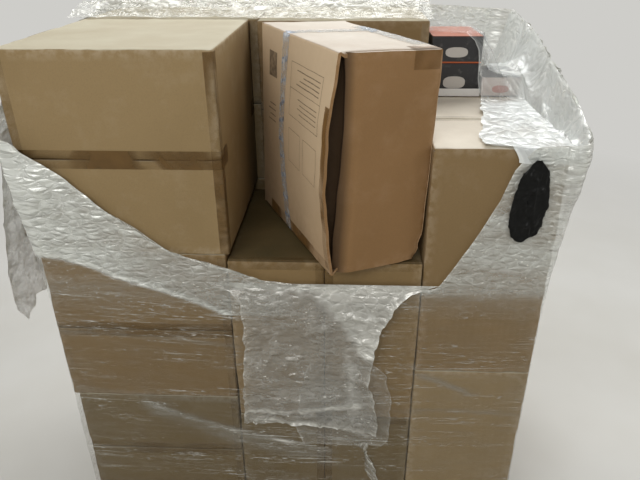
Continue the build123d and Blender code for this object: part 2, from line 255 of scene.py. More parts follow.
class Shade:
    """A material, and short ways to add and link its nodes."""

    names = {"color": "Base Color", "roughness": "Roughness", "normal": "Normal",
             "metallic": "Metallic", "alpha": "Alpha", "specular": "Specular IOR Level"}

    def __init__(self, name):
        self.material = bpy.data.materials.new(name)
        self.material.use_nodes = True
        self.tree = self.material.node_tree
        self.principled = self.tree.nodes["Principled BSDF"]

    def feed(self, socket, value):
        """Links a value to a socket, or sets a number, a vector or a colour there."""
        if isinstance(value, Value):
            self.tree.links.new(value.socket, socket)
        elif socket.type == "RGBA":
            socket.default_value = (*value, 1)
        else:
            socket.default_value = value

    def add(self, kind, *first, **settings):
        """A node; first feeds its first inputs, and settings its own settings and inputs."""
        node = self.tree.nodes.new(kind)
        for key, value in settings.items():
            if hasattr(node, key):
                setattr(node, key, value)
            else:
                self.feed(node.inputs[key], value)
        for socket, value in zip(node.inputs, first):
            self.feed(socket, value)
        return node

    def out(self, output, kind, *first, **settings):
        """The named output of a new node."""
        return Value(self, self.add(kind, *first, **settings).outputs[output])

    def coordinates(self):
        return self.out("Object", "ShaderNodeTexCoord")

    def place(self, scale=(1, 1, 1), rotation=(0, 0, 0)):
        """Object coordinates, stretched, so that a pattern keeps its real size."""
        return self.out("Vector", "ShaderNodeMapping", self.coordinates(), Scale=scale,
                        Rotation=rotation)

    def part(self, axis, vector):
        return self.out(axis, "ShaderNodeSeparateXYZ", vector)

    def noise(self, scale, detail=4.0, roughness=0.55, vector=None, distortion=0.0):
        return self.out("Fac", "ShaderNodeTexNoise", Scale=scale, Detail=detail,
                        Roughness=roughness, Distortion=distortion,
                        Vector=vector or self.place())

    def bands(self, axis, scale, distortion, vector):
        return self.out("Fac", "ShaderNodeTexWave", wave_type="BANDS", bands_direction=axis,
                        wave_profile="SIN", Scale=scale, Distortion=distortion, Vector=vector)

    def mix(self, factor, first, second, blend="MIX"):
        node = self.add("ShaderNodeMix", data_type="RGBA", blend_type=blend)
        sockets = [node.inputs[0]] + [s for s in node.inputs if s.type == "RGBA"]
        for socket, value in zip(sockets, (factor, first, second)):
            self.feed(socket, value)
        return Value(self, next(s for s in node.outputs if s.type == "RGBA"))

    def attribute(self, name):
        return self.out("Fac", "ShaderNodeAttribute", attribute_name=name)

    def bump(self, height, distance, strength=1.0, below=None):
        under = {} if below is None else {"Normal": below}
        return self.out("Normal", "ShaderNodeBump", Strength=strength, Distance=distance,
                        Height=height, **under)

    def set(self, **values):
        for key, value in values.items():
            self.feed(self.principled.inputs[self.names[key]], value)
        return self.material


def srgb(red, green, blue):
    """A colour as read in an image, 0 to 255, as the linear one that a shader takes."""
    def linear(c):
        c /= 255
        return c / 12.92 if c <= 0.04045 else ((c + 0.055) / 1.055) ** 2.4
    return tuple(linear(c) for c in (red, green, blue))


def tinted(color, tint):
    return tuple(c * t for c, t in zip(color, tint))


# Board, tape and wood

KRAFT = srgb(157, 133, 94)
KRAFT_DARK = srgb(142, 119, 81)
KRAFT_PALE = srgb(186, 168, 140)
# the colour of the tops: dusty board, with a painted highlight of the glare on lit tops
KRAFT_DUST_AND_GLARE = srgb(206, 199, 175)
PRINTED_BOARD = srgb(224, 201, 168)
# painted shade: the colour of seams, creases and shadowed parts
GROOVE_SHADE = srgb(48, 34, 20)


def kraft_material(name, tint, seed, rib_axis, printed_side=None, dust_and_light=KRAFT_DUST_AND_GLARE):
    """Brown corrugated board: fibres, faint ribs, blotches and worn, paler edges."""
    s = Shade(name)
    main, dark, pale = (tinted(color, tint) for color in (KRAFT, KRAFT_DARK, KRAFT_PALE))
    vector = s.out("Vector", "ShaderNodeVectorMath", s.place(), (seed, seed * 1.7, seed * 0.6),
                   operation="ADD")
    blotches = s.noise(3.2, 3.0, vector=vector).ramp((0.35, dark), (0.62, main))
    fibres = s.noise(420.0, 2.0, 0.7, vector=vector)
    speckle = fibres.ramp((0.36, 0.91), (0.52, 0.98), (0.72, 1.0))
    color = s.mix(1.0, s.mix(0.45, main, blotches), speckle, "MULTIPLY")
    scuffs = s.noise(14.0, 6.0, 0.7, vector=vector).rise(0.52, 0.75)
    color = s.mix(scuffs * 0.22, color, pale)
    wear = s.attribute("edge").times(s.noise(60.0, 4.0, vector=vector).rise(0.40, 0.62))
    color = s.mix(wear * 0.65, color, pale)
    # the tops are paler: partly dusty, partly a painted highlight of the glare on lit tops; on
    # shaded boards the top colour is a painted shadow
    normal = s.out("Normal", "ShaderNodeNewGeometry")
    top = s.part("Z", normal).rise(0.55, 0.95)
    cover = s.noise(7.0, 5.0, vector=vector).ramp((0.30, 0.62), (0.70, 0.86))
    color = s.mix(top * cover, color, dust_and_light)
    if printed_side:
        # the side that carries the print is paler, most of all high up
        upper = (s.part("Z", s.coordinates()) - 0.5).ramp((0.50, 0.50), (0.82, 1.0))
        facing = s.out("Value", "ShaderNodeVectorMath", normal, printed_side,
                       operation="DOT_PRODUCT")
        color = s.mix(facing.ramp((0.70, 0.0), (0.88, 0.72)) * upper, color, PRINTED_BOARD)
    # painted shade: the seams, the creases and the shadowed parts are painted dark
    color = s.mix(s.attribute("groove"), color, GROOVE_SHADE)
    # the ribs of the corrugated core show faintly through the liner
    ribs = s.bump(s.bands("XYZ"[rib_axis], 20.0, 0.4, vector), 0.00010, 0.5)
    grain = s.bump(fibres, 0.00012, 0.6, below=ribs)
    normal = s.bump(s.noise(26.0, 5.0, 0.6, vector=vector), 0.0009, 0.55, below=grain)
    rough = fibres.ramp((0.3, 0.62), (0.7, 0.82))
    return s.set(color=color, roughness=rough, normal=normal, specular=0.28)


def tape_material(name, color, hold):
    """Glossy packing tape with trapped air, fine wrinkles and a little of the board showing."""
    s = Shade(name)
    bubbles = s.noise(24.0, 5.0, 0.6).rise(0.38, 0.66)
    darker, paler = tinted(color, (0.90,) * 3), tinted(color, (1.12,) * 3)
    tone = s.mix(bubbles, darker, paler)
    wrinkles = s.bump(s.noise(70.0, 4.0, 0.6, distortion=1.2), 0.0006, 0.5)
    normal = s.bump(s.noise(1.0, 3.0, vector=s.place((30, 30, 120))), 0.0004, 0.4, below=wrinkles)
    rough = bubbles.ramp((0.0, 0.36), (1.0, 0.52))
    # where it has come loose the tape is pale and shows the board
    stuck = s.noise(5.0, 3.0, 0.6, distortion=0.6).ramp((0.42, 0.22), (0.56, 1.0))
    return s.set(color=tone, roughness=rough, normal=normal,
                 alpha=s.attribute("tack") * hold * stuck, specular=0.28)


def clear_tape_material():
    """Clear tape with a pale blue generic dash print, and silvery creases painted near white as
    highlights.
    """
    s = Shade("clear_tape")
    wave = s.bands("Z", 7.0, 6.0, s.place(rotation=(0.0, 0.3, 0.4)))
    dashes = wave.rise(0.84, 0.92)
    color = s.mix(dashes, srgb(220, 221, 218), srgb(144, 162, 186))
    crease = s.noise(60.0, 5.0, 0.6).rise(0.42, 0.60)
    # painted highlight: the creases are painted near white
    color = s.mix(crease * 0.7, color, srgb(246, 247, 246))
    alpha = (dashes * 0.32 + crease * 0.38).plus(0.36)
    normal = s.bump(s.noise(80.0, 4.0, 0.6, distortion=1.0), 0.001, 0.8)
    return s.set(color=color, roughness=0.18, normal=normal, alpha=alpha, metallic=0.25)


def wood_material(name, along):
    """Rough sawn softwood: long grain, saw marks, grey weathering and dirt."""
    s = Shade(name)
    stretch, saw = [26.0] * 3, [2.0] * 3
    stretch[along], saw[along] = 1.6, 240.0
    grain = s.noise(1.0, 6.0, 0.62, vector=s.place(stretch), distortion=0.9)
    color = grain.ramp((0.30, srgb(132, 101, 66)), (0.50, srgb(184, 151, 108)),
                       (0.68, srgb(206, 178, 137)))
    grey = s.noise(4.0, 5.0, 0.6).rise(0.42, 0.68)
    color = s.mix(grey * 0.45, color, srgb(140, 130, 116))
    dirt = s.noise(11.0, 6.0, 0.7).rise(0.55, 0.75)
    color = s.mix(dirt * 0.5, color, srgb(74, 62, 50))
    marks = s.bump(s.noise(1.0, 2.0, vector=s.place(saw)), 0.0006, 0.5)
    normal = s.bump(grain, 0.0012, 0.7, below=marks)
    return s.set(color=color, roughness=0.78, normal=normal, specular=0.25)


# Film material

# painted highlights: the colours of the film's glints and of its bright folds
FILM_GLINT = srgb(246, 244, 234)
FILM_FACET_GLINT = srgb(240, 241, 237)


def film_material(name, seed=0.0, glint=1.0, facets=0.0, tone=srgb(186, 184, 174),
                  drawn=0.0, grain=(0.034, 0.024), gloss=1.0):
    """Clear film. On its points, veil is how milky it is and fold how much its folds shine,
    painted in as a highlight; along and across are distances on it, so that its streaks follow
    the pull. drawn is how strongly it is drawn out into level lines, facets how much it is
    crumpled and gloss how sharply it shines. Its sparks and glints are painted highlights."""
    s = Shade(name)
    along, across = s.attribute("along"), s.attribute("across")
    veil, fold_glint = s.attribute("veil"), s.attribute("fold_glint")

    def combined(x, y, z):
        return s.out("Vector", "ShaderNodeCombineXYZ", x, y, z)

    def pattern(cell_along, cell_across, detail=3.0, distortion=0.3, shift=0.0):
        place = combined(along / cell_along, across / cell_across, seed + shift)
        return s.noise(1.0, detail, 0.6, vector=place, distortion=distortion)

    wide = pattern(0.20, 0.06).ramp((0.34, 0.55), (0.66, 1.0))
    streaks = pattern(0.16, 0.007, 4.0, 0.2, 2.0).rise(0.52, 0.72) * drawn
    crumple = pattern(*grain, 5.0, 0.4, 5.0)
    creased = crumple.rise(0.44, 0.74)
    sparks = pattern(0.010, 0.0055, 2.0, 0.3, 7.0).rise(0.66, 0.71)
    patches = pattern(0.10, 0.05, 2.0, 0.2, 11.0).rise(0.50, 0.62)
    # bundles of fine level lines, and short glints in them, painted bright as highlights
    bundle = pattern(0.45, 0.050, 2.0, 0.1, 19.0).ramp((0.46, 0.06), (0.60, 1.0))
    thread = pattern(0.12, 0.0048, 3.0, 0.1, 23.0).rise(0.54, 0.66) * bundle * drawn
    dash = (pattern(0.026, 0.0036, 1.0, 0.1, 29.0).rise(0.63, 0.68) * bundle).times(drawn)
    # painted highlights: sparks, glints, level lines and shining folds are painted near white and
    # more opaque
    bright = (sparks * patches).times(glint).plus(dash)
    shine = fold_glint * (creased * 0.5 + 0.25)
    alpha = veil * (wide * 1.35) + streaks * (veil * 0.30 + 0.075) + thread * 0.40
    alpha = (alpha + creased * (veil * 0.45) + shine).plus(bright * 0.55)
    color = s.mix((shine * 1.4).plus(bright + thread), tone, FILM_GLINT)
    bumps = s.bump(crumple, 0.002 + 0.003 * gloss, 0.8)
    if facets:
        # crumpled film breaks into small flat facets, and the folds between them are painted
        # bright, a painted highlight
        place = combined(along / 0.022 + crumple * 1.2, across / 0.015, seed)
        depth = s.out("Distance", "ShaderNodeTexVoronoi", feature="DISTANCE_TO_EDGE", Scale=1.0,
                      Vector=place)
        some = pattern(0.055, 0.03, 3.0, 0.4, 17.0).rise(0.44, 0.62)
        edges = depth.ramp((0.0, 1.0), (0.09, 0.0)) * some * facets
        alpha = alpha.plus(edges * 0.24)
        color = s.mix(edges, color, FILM_FACET_GLINT)
        bumps = s.bump(depth.rise(0.0, 0.40), 0.001 + 0.004 * gloss, 0.8, below=bumps)
    normal = s.bump(pattern(0.010, 0.007, 3.0, 0.5, 13.0), 0.0012, 0.6, below=bumps)
    return s.set(color=color, roughness=0.34 - 0.18 * gloss, normal=normal, alpha=alpha,
                 metallic=0.30 * gloss, specular=0.8)


# Cartons

TAPE_WIDTH = 0.042
TAPE_WRAP = 0.062
TAPE_INSET = 0.004


class Carton:
    """The outer surface of a closed carton, a little bowed and dented.

    Points are given on the plain box; at() returns where they lie, pushed out by grow.
    """

    radius = 0.005
    board = 0.006
    bow = 0.002
    dent = 0.006
    fine_dent = 0.0004
    groove_depth = 0.0045
    half_seam, half_crease = 0.0016, 0.0011
    worn_edge = 0.025
    step, least_step = 0.016, 0.00018
    tape_lift = 0.0006

    def __init__(self, node, flaps, seam, seed):
        self.low, self.high = (np.array(v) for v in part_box(node))
        self.flaps, self.seam, self.seed = flaps, seam, seed
        self.wall = 3 - flaps - seam
        self.middle = (self.low + self.high) / 2
        self.half = (self.high - self.low) / 2
        self.crease = self.board + 0.001

    def groove(self, points):
        """1 in the seam between the outer flaps, and in the crease under their cut ends; there the
        board is sunk in and painted dark, painted shade.
        """
        away = np.abs(points - self.middle)
        depth = self.half - away
        touching = 1e-6
        seam = (depth[:, self.flaps] < touching) & (away[:, self.wall] < self.half_seam)
        crease = ((depth[:, self.seam] < touching)
                  & (np.abs(depth[:, self.flaps] - self.crease) < self.half_crease))
        return np.where(seam, 1.0, np.where(crease, 0.6, 0.0))

    def at(self, points, grow=0.0, bridge=False):
        inner = np.clip(points, self.low + self.radius, self.high - self.radius)
        away = points - inner
        normal = away / np.maximum(np.linalg.norm(away, axis=1), 1e-9)[:, None]
        share = np.clip(np.abs(points - self.middle) / self.half, 0, 1)
        crown = np.prod(np.where(share > 0.9999, 1.0, 1 - share**2), axis=1)
        move = self.bow * crown * (0.6 + 0.8 * fractal(points, 0.16, self.seed, 2))
        dents = np.clip(fractal(points, 0.05, self.seed + 5, 3) - 0.12, 0, 1)
        move = move - self.dent * dents * self.edge(points) ** 2
        move = move + self.fine_dent * fractal(points, 0.03, self.seed + 9, 2)
        if not bridge:
            move = move - self.groove_depth * self.groove(points)
        return inner + normal * (self.radius + grow + move)[:, None]

    def edge(self, points):
        """1 on the box's edges, falling to 0 some way from them."""
        depth = np.sort(np.minimum(points - self.low, self.high - points), axis=1)
        return np.clip(1 - depth[:, 1] / self.worn_edge, 0, 1)

    def lines(self, axis):
        """Grid coordinates along an axis: close at the bends, and at the grooves."""
        low, high, r = self.low[axis], self.high[axis], self.radius
        bends = np.array([0, 0.2, 0.45, 0.7, 1.0]) * r
        count = max(4, int((high - low) / self.step))
        marks = [low + bends, high - bends, np.linspace(low + 2 * r, high - 2 * r, count)]
        if axis == self.wall:
            marks.append(self.middle[axis] + np.array([-0.0019, -0.0015, 0, 0.0015, 0.0019]))
        if axis == self.flaps:
            crease = self.crease + np.array([-0.0013, -0.0010, 0, 0.0010, 0.0013])
            marks += [low + crease, high - crease]
        values = np.unique(np.round(np.concatenate(marks), 6))
        keep = [values[0]]
        for value in values[1:]:
            if value - keep[-1] > self.least_step:
                keep.append(value)
        keep[-1] = high
        return np.array(keep)

    def mesh(self):
        """The whole carton as one closed mesh, with what its material reads."""
        sides = []
        for axis in (X, Y, Z):
            u, v = (axis + 1) % 3, (axis + 2) % 3
            us, vs = self.lines(u), self.lines(v)
            for side in (self.low[axis], self.high[axis]):
                points = np.zeros((len(us), len(vs), 3))
                points[:, :, axis] = side
                points[:, :, u] = us[:, None]
                points[:, :, v] = vs[None, :]
                quads = grid_faces(len(us), len(vs))
                if side == self.low[axis]:
                    quads = flipped(quads)
                sides.append((points.reshape(-1, 3), quads))
        points, faces = weld(*join(sides))
        return self.at(points), faces, {"edge": self.edge(points), "groove": self.groove(points)}

    def strip(self, along, across, seed, rough=0.0004):
        """A piece of tape: its points are the sums of along and across, brought to the box."""
        points = (along[:, None, :] + across[None, :, :]).reshape(-1, 3)
        points = np.clip(points, self.low, self.high)
        wrinkle = creases(points, (0.045, 0.045, 0.03), seed, 2)
        wrinkle = wrinkle + 0.5 * np.clip(fractal(points, 0.02, seed), 0, 1)
        placed = self.at(points, self.tape_lift + rough * wrinkle, bridge=True)
        return placed, grid_faces(len(along), len(across))


def wrap_path(length):
    """Distances along tape that runs over a face and turns down both its ends."""
    step = 0.006
    turned = int(TAPE_WRAP / step)
    bend = np.array([-0.004, -0.0025, -0.001, 0.001, 0.0025, 0.004])
    spots = [np.linspace(-TAPE_WRAP, 0, turned), np.linspace(0, length, int(length / step)),
             np.linspace(length, length + TAPE_WRAP, turned), bend, length + bend]
    return np.unique(np.round(np.concatenate(spots), 5))


def rows_of(count, **columns):
    """Points (count, 3), zero but for the columns x, y or z that are given."""
    rows = np.zeros((count, 3))
    for axis, values in columns.items():
        rows[:, "xyz".index(axis)] = values
    return rows


def carton_tapes(carton, edges, seed):
    """The seam tape and, where there is any, the tape over the flap ends."""
    seam, wall, flaps = ("xyz"[axis] for axis in (carton.seam, carton.wall, carton.flaps))
    seam_low, seam_high = carton.low[carton.seam], carton.high[carton.seam]
    length = seam_high - seam_low
    strips, tack = [], []
    columns, step = 9, 0.008
    for sign, face in ((-1, carton.low[carton.flaps]), (1, carton.high[carton.flaps])):
        # along the seam, and down both ends
        s = wrap_path(length)
        down = np.maximum(-s, s - length).clip(0)
        along = rows_of(len(s), **{seam: seam_low + np.clip(s, 0, length),
                                   flaps: face - sign * down})
        middle = carton.middle[carton.wall]
        width = np.linspace(-TAPE_WIDTH / 2, TAPE_WIDTH / 2, columns)
        across = rows_of(columns, **{wall: middle + width})
        strips.append(carton.strip(along, across, seed + sign + 3, rough=0.0007))
        tack.append(1.0)
        if not edges:
            continue
        # over the flap ends, where it holds less well at one end
        for end, corner, hold in ((-1, seam_low, 0.25), (1, seam_high, 0.85)):
            run = np.arange(carton.low[carton.wall] + TAPE_INSET,
                            carton.high[carton.wall] - TAPE_INSET, step)
            t = np.concatenate([np.linspace(-TAPE_WIDTH / 2, -0.006, 5),
                                np.linspace(-0.005, 0.005, 7),
                                np.linspace(0.006, TAPE_WIDTH / 2, 5)])
            along = rows_of(len(run), **{wall: run})
            across = rows_of(len(t), **{seam: corner - end * np.clip(-t, 0, None),
                                        flaps: face - sign * np.clip(t, 0, None)})
            strips.append(carton.strip(along, across, seed + 7 * sign + end))
            tack.append(hold)
    held = [np.full(len(points), hold) for (points, _), hold in zip(strips, tack)]
    return join(strips), np.concatenate(held)


# how each kind of board differs from plain kraft, and the colour of its top: dusty, with a painted
# highlight of the glare on lit tops
KRAFT_TINTS = {
    "plain": ((0.94, 0.94, 0.93), srgb(196, 190, 167)),
    "warm": ((1.02, 0.97, 0.90), KRAFT_DUST_AND_GLARE),
    "grey": ((0.97, 0.99, 1.02), KRAFT_DUST_AND_GLARE),
    # a darkened board: painted shade
    "half_shaded": ((0.69, 0.645, 0.58), KRAFT_DUST_AND_GLARE),
    # a darkened board: painted shade, for the dimmer light low down
    "low": ((0.54, 0.55, 0.53), KRAFT_DUST_AND_GLARE),
    # a darkened board with a dark top: painted shade, and a painted shadow on the top
    "shaded": ((0.78, 0.74, 0.67), srgb(56, 50, 25)),
    # a darker board with a near white top: a painted highlight of glare
    "glare_topped": ((0.79, 0.75, 0.71), srgb(232, 225, 210)),
}

# each carton: the axis its flaps face, the axis its seam runs along, edge tape, tint, tape
CARTONS = {
    "left_base": (Y, X, True, "low", "worn"),
    "left_middle": (Y, X, True, "half_shaded", "worn"),
    "left_top": (Y, X, True, "plain", "brown"),
    "centre_base": (Y, Z, True, "low", "worn"),
    "centre_top": (Y, Z, True, "shaded", "worn"),
    "right_base": (Z, X, False, "grey", "worn"),
    "right_top": (Z, X, False, "glare_topped", "faint"),
    "back_left_base": (Y, X, True, "grey", "worn"),
    "back_left_middle": (Y, X, True, "plain", "worn"),
    "back_left_top": (Y, X, True, "plain", "faint"),
    "back_centre_base": (Y, Z, True, "warm", "worn"),
    "back_centre_middle": (Y, Z, True, "plain", "worn"),
    "back_centre_top": (Y, X, True, "half_shaded", "faint"),
    "back_right_base": (Z, X, False, "grey", "worn"),
    "back_right_top": (Z, X, False, "plain", "worn"),
}


def make_cartons():
    """Every closed carton with its tape."""
    tapes = {"brown": tape_material("brown_tape", srgb(108, 81, 43), hold=0.90),
             "worn": tape_material("worn_tape", srgb(112, 86, 48), hold=0.34),
             "faint": tape_material("faint_tape", srgb(196, 186, 162), hold=0.18)}
    boards = {}
    for number, (name, (flaps, seam, edges, tint, kind)) in enumerate(CARTONS.items()):
        if (tint, flaps) not in boards:
            color, dust_and_light = KRAFT_TINTS[tint]
            boards[tint, flaps] = kraft_material(f"kraft_{tint}_{'XYZ'[flaps]}", color,
                                                 number * 3.1, X if flaps == Z else Z, dust_and_light=dust_and_light)
        carton = Carton(f"carton_{name}", flaps, seam, 100 + number * 13)
        points, faces, marks = carton.mesh()
        make_piece(f"carton_{name}_board", "kraft_board", [f"carton_{name}"], points, faces,
                   boards[tint, flaps], **marks)
        (points, faces), tack = carton_tapes(carton, edges, 300 + number * 7)
        make_piece(f"tape_{name}_strips", "clear_tape" if kind == "faint" else "brown_tape",
                   [f"tape_{name}"], points, faces, tapes[kind], tack=tack)


# Leaning carton


class Leaning:
    """The turned carton in its own frame: x across it from its front right edge
    (0 to minus its width), y to its back, z up its leaning walls."""

    width, depth, height = 0.229, 0.468, 0.480
    board, radius = 0.0065, 0.005
    turn = math.radians(25.0)
    side_clearance, back_clearance, contact = 0.009, 0.010, 0.0003
    tape = 0.0004
    bow, slit = 0.024, 0.010
    flap_reach = 0.2325
    step = 0.012
    tape_lift, print_lift = 0.0007, 0.0004

    def __init__(self):
        column_low, column_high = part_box("carton_right_top")
        centre_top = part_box("carton_centre_top")[1].z
        back_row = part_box("carton_back_centre_base")[0].y
        reach = (self.side_clearance - self.contact) / math.cos(self.turn)
        foot_z = centre_top + 2 * self.tape
        lean = math.atan2(reach, column_high.z - foot_z)
        across = np.array([math.cos(self.turn), math.sin(self.turn), 0])
        upright = np.array([0, 0, 1])
        self.up = across * math.sin(lean) + upright * math.cos(lean)
        self.x = across * math.cos(lean) - upright * math.sin(lean)
        self.y = np.array([-math.sin(self.turn), math.cos(self.turn), 0])
        foot_y = back_row - self.back_clearance - self.depth * math.cos(self.turn)
        self.foot = np.array([column_low.x - self.side_clearance, foot_y, foot_z])
        # the runs of the walls: right side, top, left side and foot, with the bends between
        r = self.radius
        self.side, self.bend = self.height - 2 * r, math.pi * r / 2
        self.runs = [self.side, self.bend, self.width - 2 * r, self.bend] * 2
        self.ends = np.cumsum(self.runs)
        self.top_start = self.ends[1]
        self.left_start = self.ends[3]

    def place(self, points):
        """Row coordinates of local points, with the crushed foot and soft dents."""
        p = np.array(points, float)
        corner, crushed = np.array([-0.004, 0.0, 0.0]), (0.055, 0.07, 0.075)
        near = np.clip(1 - np.linalg.norm((p - corner) / crushed, axis=1), 0, 1)
        crush = creases(p, 0.022, 71, 2)
        p[:, 0] -= 0.016 * near * (0.4 + crush)
        p[:, 1] += 0.010 * near * crush
        p[:, 2] += 0.006 * near**2
        p += 0.0012 * np.stack([fractal(p, 0.07, 500 + k, 2) for k in range(3)], axis=1)
        return self.foot + p[:, :1] * self.x + p[:, 1:2] * self.y + p[:, 2:] * self.up

    def bulge(self, y, z):
        """How far the left panel stands out."""
        upright = np.sin(math.pi * np.clip(z / self.height, 0, 1))
        wave = 0.0016 * np.sin(z * 41) + 0.0008 * np.sin(z * 97 + 1.0)
        front = np.clip(1 - y / (self.depth - self.radius), 0, 1)
        return self.bow * upright * front + wave * front**4 * upright

    def shell(self, s, y, grow=0.0):
        """The walls: s runs round them, from the front right foot up the right side,
        over the top, down the left side and back under the carton."""
        w, h, r = self.width, self.height, self.radius
        s = np.mod(s, self.ends[-1])
        x, z, nx, nz = (np.zeros_like(s) for _ in range(4))
        starts = self.ends - self.runs
        # each wall starts at a point and runs one way; each bend turns round a centre
        corners = [(0, r), (-r, h - r), (-r, h), (-w + r, h - r),
                   (-w, h - r), (-w + r, r), (-w + r, 0), (-r, r)]
        direction = [(0, 1), (-1, 0), (0, -1), (1, 0)]
        outward = [(1, 0), (0, 1), (-1, 0), (0, -1)]
        for k, (cx, cz) in enumerate(corners):
            mask = (s >= starts[k]) & (s <= self.ends[k])
            t = s[mask] - starts[k]
            side = k // 2
            if k % 2 == 0:
                x[mask] = cx + direction[side][0] * t
                z[mask] = cz + direction[side][1] * t
                nx[mask], nz[mask] = outward[side]
            else:
                first, second = outward[side], outward[(side + 1) % 4]
                nx[mask] = first[0] * np.cos(t / r) + second[0] * np.sin(t / r)
                nz[mask] = first[1] * np.cos(t / r) + second[1] * np.sin(t / r)
                x[mask] = cx + r * nx[mask]
                z[mask] = cz + r * nz[mask]
        out = np.where(x < -w + r, self.bulge(y, z) * np.clip(-nx, 0, 1), 0)
        return np.stack([x + nx * grow - out, y, z + nz * grow], axis=1)

    def around(self):
        """Values of s round the walls, close at the bends."""
        values, start = [], 0.0
        for k, run in enumerate(self.runs):
            count = 6 if k % 2 else int(run / self.step)
            values.append(np.linspace(start, start + run, count, endpoint=False))
            start += run
        return np.append(np.concatenate(values), start - 1e-7)

    def strip(self, s_values, offsets, seed, rough=0.0007, middle=lambda s: 0):
        """Tape on the walls; offsets are distances to the back from its middle line."""
        s, offset = grid(s_values, offsets)
        y = middle(s) + offset
        flat = self.shell(s, y)
        outward = self.shell(s, y, 1.0) - flat
        grow = self.tape_lift + rough * creases(flat, 0.03, seed, 2)
        return flat + outward * grow[:, None], grid_faces(len(offsets), len(s_values))


def slab(outer, inner, rows, columns, cuts):
    """A board between two grids of points; cuts says which of its first row, last row,
    first column and last column have cut edges."""
    points = [outer, inner]
    faces = grid_faces(rows, columns) + flipped(grid_faces(rows, columns, len(outer)))
    index = np.arange(rows * columns).reshape(rows, columns)
    lines = [(index[0], False), (index[-1], True), (index[:, 0], True), (index[:, -1], False)]
    for (line, flip), wanted in zip(lines, cuts):
        if wanted:
            quads = grid_faces(3, len(line), sum(len(p) for p in points))
            a, b = outer[line], inner[line]
            points += [a, (a + b) / 2, b]
            faces += flipped(quads) if flip else quads
    return np.concatenate(points), faces


# points up and along the closing flap
FLAP_ROWS, FLAP_COLUMNS = 50, 28


def leaning_walls(box):
    w, h = box.width, box.height
    s = box.around()
    ys = np.concatenate([[0, 0.003, 0.008], np.linspace(0.016, box.depth, 38)])
    grid_s, grid_y = grid(s, ys)
    sides = box.shell(grid_s, grid_y), box.shell(grid_s, grid_y, -box.board)
    # the top and the foot bend in behind the closing flap
    for points in sides:
        over = (smoothstep(-w + 0.004, -w + 0.016, points[:, 0])
                * smoothstep(-0.001, -0.008, points[:, 0]))
        near = np.clip(1 - grid_y / 0.010, 0, 1)
        inward = np.where(points[:, 2] > h / 2, -1, 1)
        points[:, 2] += inward * 0.0065 * over * (1 - np.sqrt(1 - near**2))
        points[:, 1] += 0.0080 * over * np.clip(1 - grid_y / 0.05, 0, 1)
    return slab(*sides, len(ys), len(s), (True, False, False, False))


def leaning_back(box):
    u, v = np.linspace(0, 1, 24), np.linspace(0, 1, 44)
    grid_u, grid_v = grid(u, v)
    sides = [stack(-box.width * grid_u, y, box.height * grid_v)
             for y in (box.depth, box.depth - box.board)]
    return slab(*sides, len(v), len(u), (True,) * 4)


def closing_flap(box):
    """The flap that bends round the right edge and stands a little open."""
    r, h = box.radius, box.height
    turn = np.linspace(0, 1, 7)
    reach = np.linspace(0, 1, FLAP_COLUMNS - 6)[1:]
    u, v = grid(np.concatenate([turn - 1, reach]), np.linspace(0, 1, FLAP_ROWS))
    bent = np.clip(u + 1, 0, 1) * math.pi / 2
    share = np.clip(u, 0, 1)
    edge_wave = 0.0022 * np.sin(v * 7) + 0.0006 * np.sin(v * 31 + 2)
    ajar = -0.006 * share**2 * (0.5 + np.sin(math.pi * v))
    curl = 0.030 * smoothstep(0.82, 1.06, u) ** 1.4 * (0.8 + 0.2 * np.sin(v * 5))
    short = spline([(0, 0.0), (0.25, 0.005), (0.5, 0.008), (0.75, 0.010), (1, 0.009)], v)
    along = share * (box.width - box.slit - r) - short * share**3 + edge_wave * share**6
    z = 0.0025 + (h - 0.005) * v
    sides = [stack(-r + bend * np.cos(bent) - along, r - bend * np.sin(bent) + ajar + curl, z)
             for bend in (r, r - box.board)]
    points, faces = slab(*sides, FLAP_ROWS, FLAP_COLUMNS, (True, True, False, True))
    return points, flipped(faces)


def inner_flap(box, base, sign):
    """A short flap behind the slit, from the foot or from the top."""
    u, v = grid(np.linspace(0, 1, 24), np.linspace(0, 1, 12))
    t, height = box.board, base + sign * box.flap_reach * v
    reach = box.width - 2 * t - 0.003 + 0.75 * box.bow * np.sin(math.pi * height / box.height)
    z = base + sign * box.flap_reach * v * (1 + 0.01 * np.sin(u * 9))
    out = t + 0.0120 + 0.022 * u**4 + 0.006 * v**2
    sides = [stack(-t - reach * u, y, z) for y in (out, out + t)]
    return slab(*sides, 12, 24, (True,) * 4)


def make_leaning_carton():
    """The open carton, its tape and its printed side."""
    box = Leaning()
    parts = [leaning_walls(box), leaning_back(box), closing_flap(box),
             inner_flap(box, box.board, 1), inner_flap(box, box.height - box.board, -1)]
    shade = [np.zeros(len(piece)) for piece, _ in parts]
    # the closing flap's free end and the inner flaps lie in shadow
    flap = parts[2][0]
    from_side = flap[:, 0] + box.width
    shade[2] = 0.80 * smoothstep(0.042, 0.018, from_side)
    cut_edge = np.arange(len(flap)) >= 2 * FLAP_ROWS * FLAP_COLUMNS
    shade[2] = np.where(cut_edge & (from_side < 0.035), 1.0, shade[2])
    for inner in shade[3:]:
        inner += 0.88
    points, faces = join(parts)
    x, z = points[:, 0], points[:, 2]
    depth = np.abs([x, x + box.width, z, z - box.height]).min(axis=0)
    # its near white top colour is dusty board with a painted highlight of the glare on the lit top
    board = kraft_material("kraft_leaning", (0.87, 0.70, 0.60), 5.3, Z,
                           printed_side=tuple(-c for c in box.x), dust_and_light=srgb(232, 226, 214))
    make_piece("carton_leaning_board", "kraft_board", ["carton_leaning"], box.place(points), faces,
               board, edge=np.clip(1 - depth / 0.02, 0, 1) * 0.6, groove=np.concatenate(shade))
    make_leaning_tapes(box)
    make_leaning_print(box)


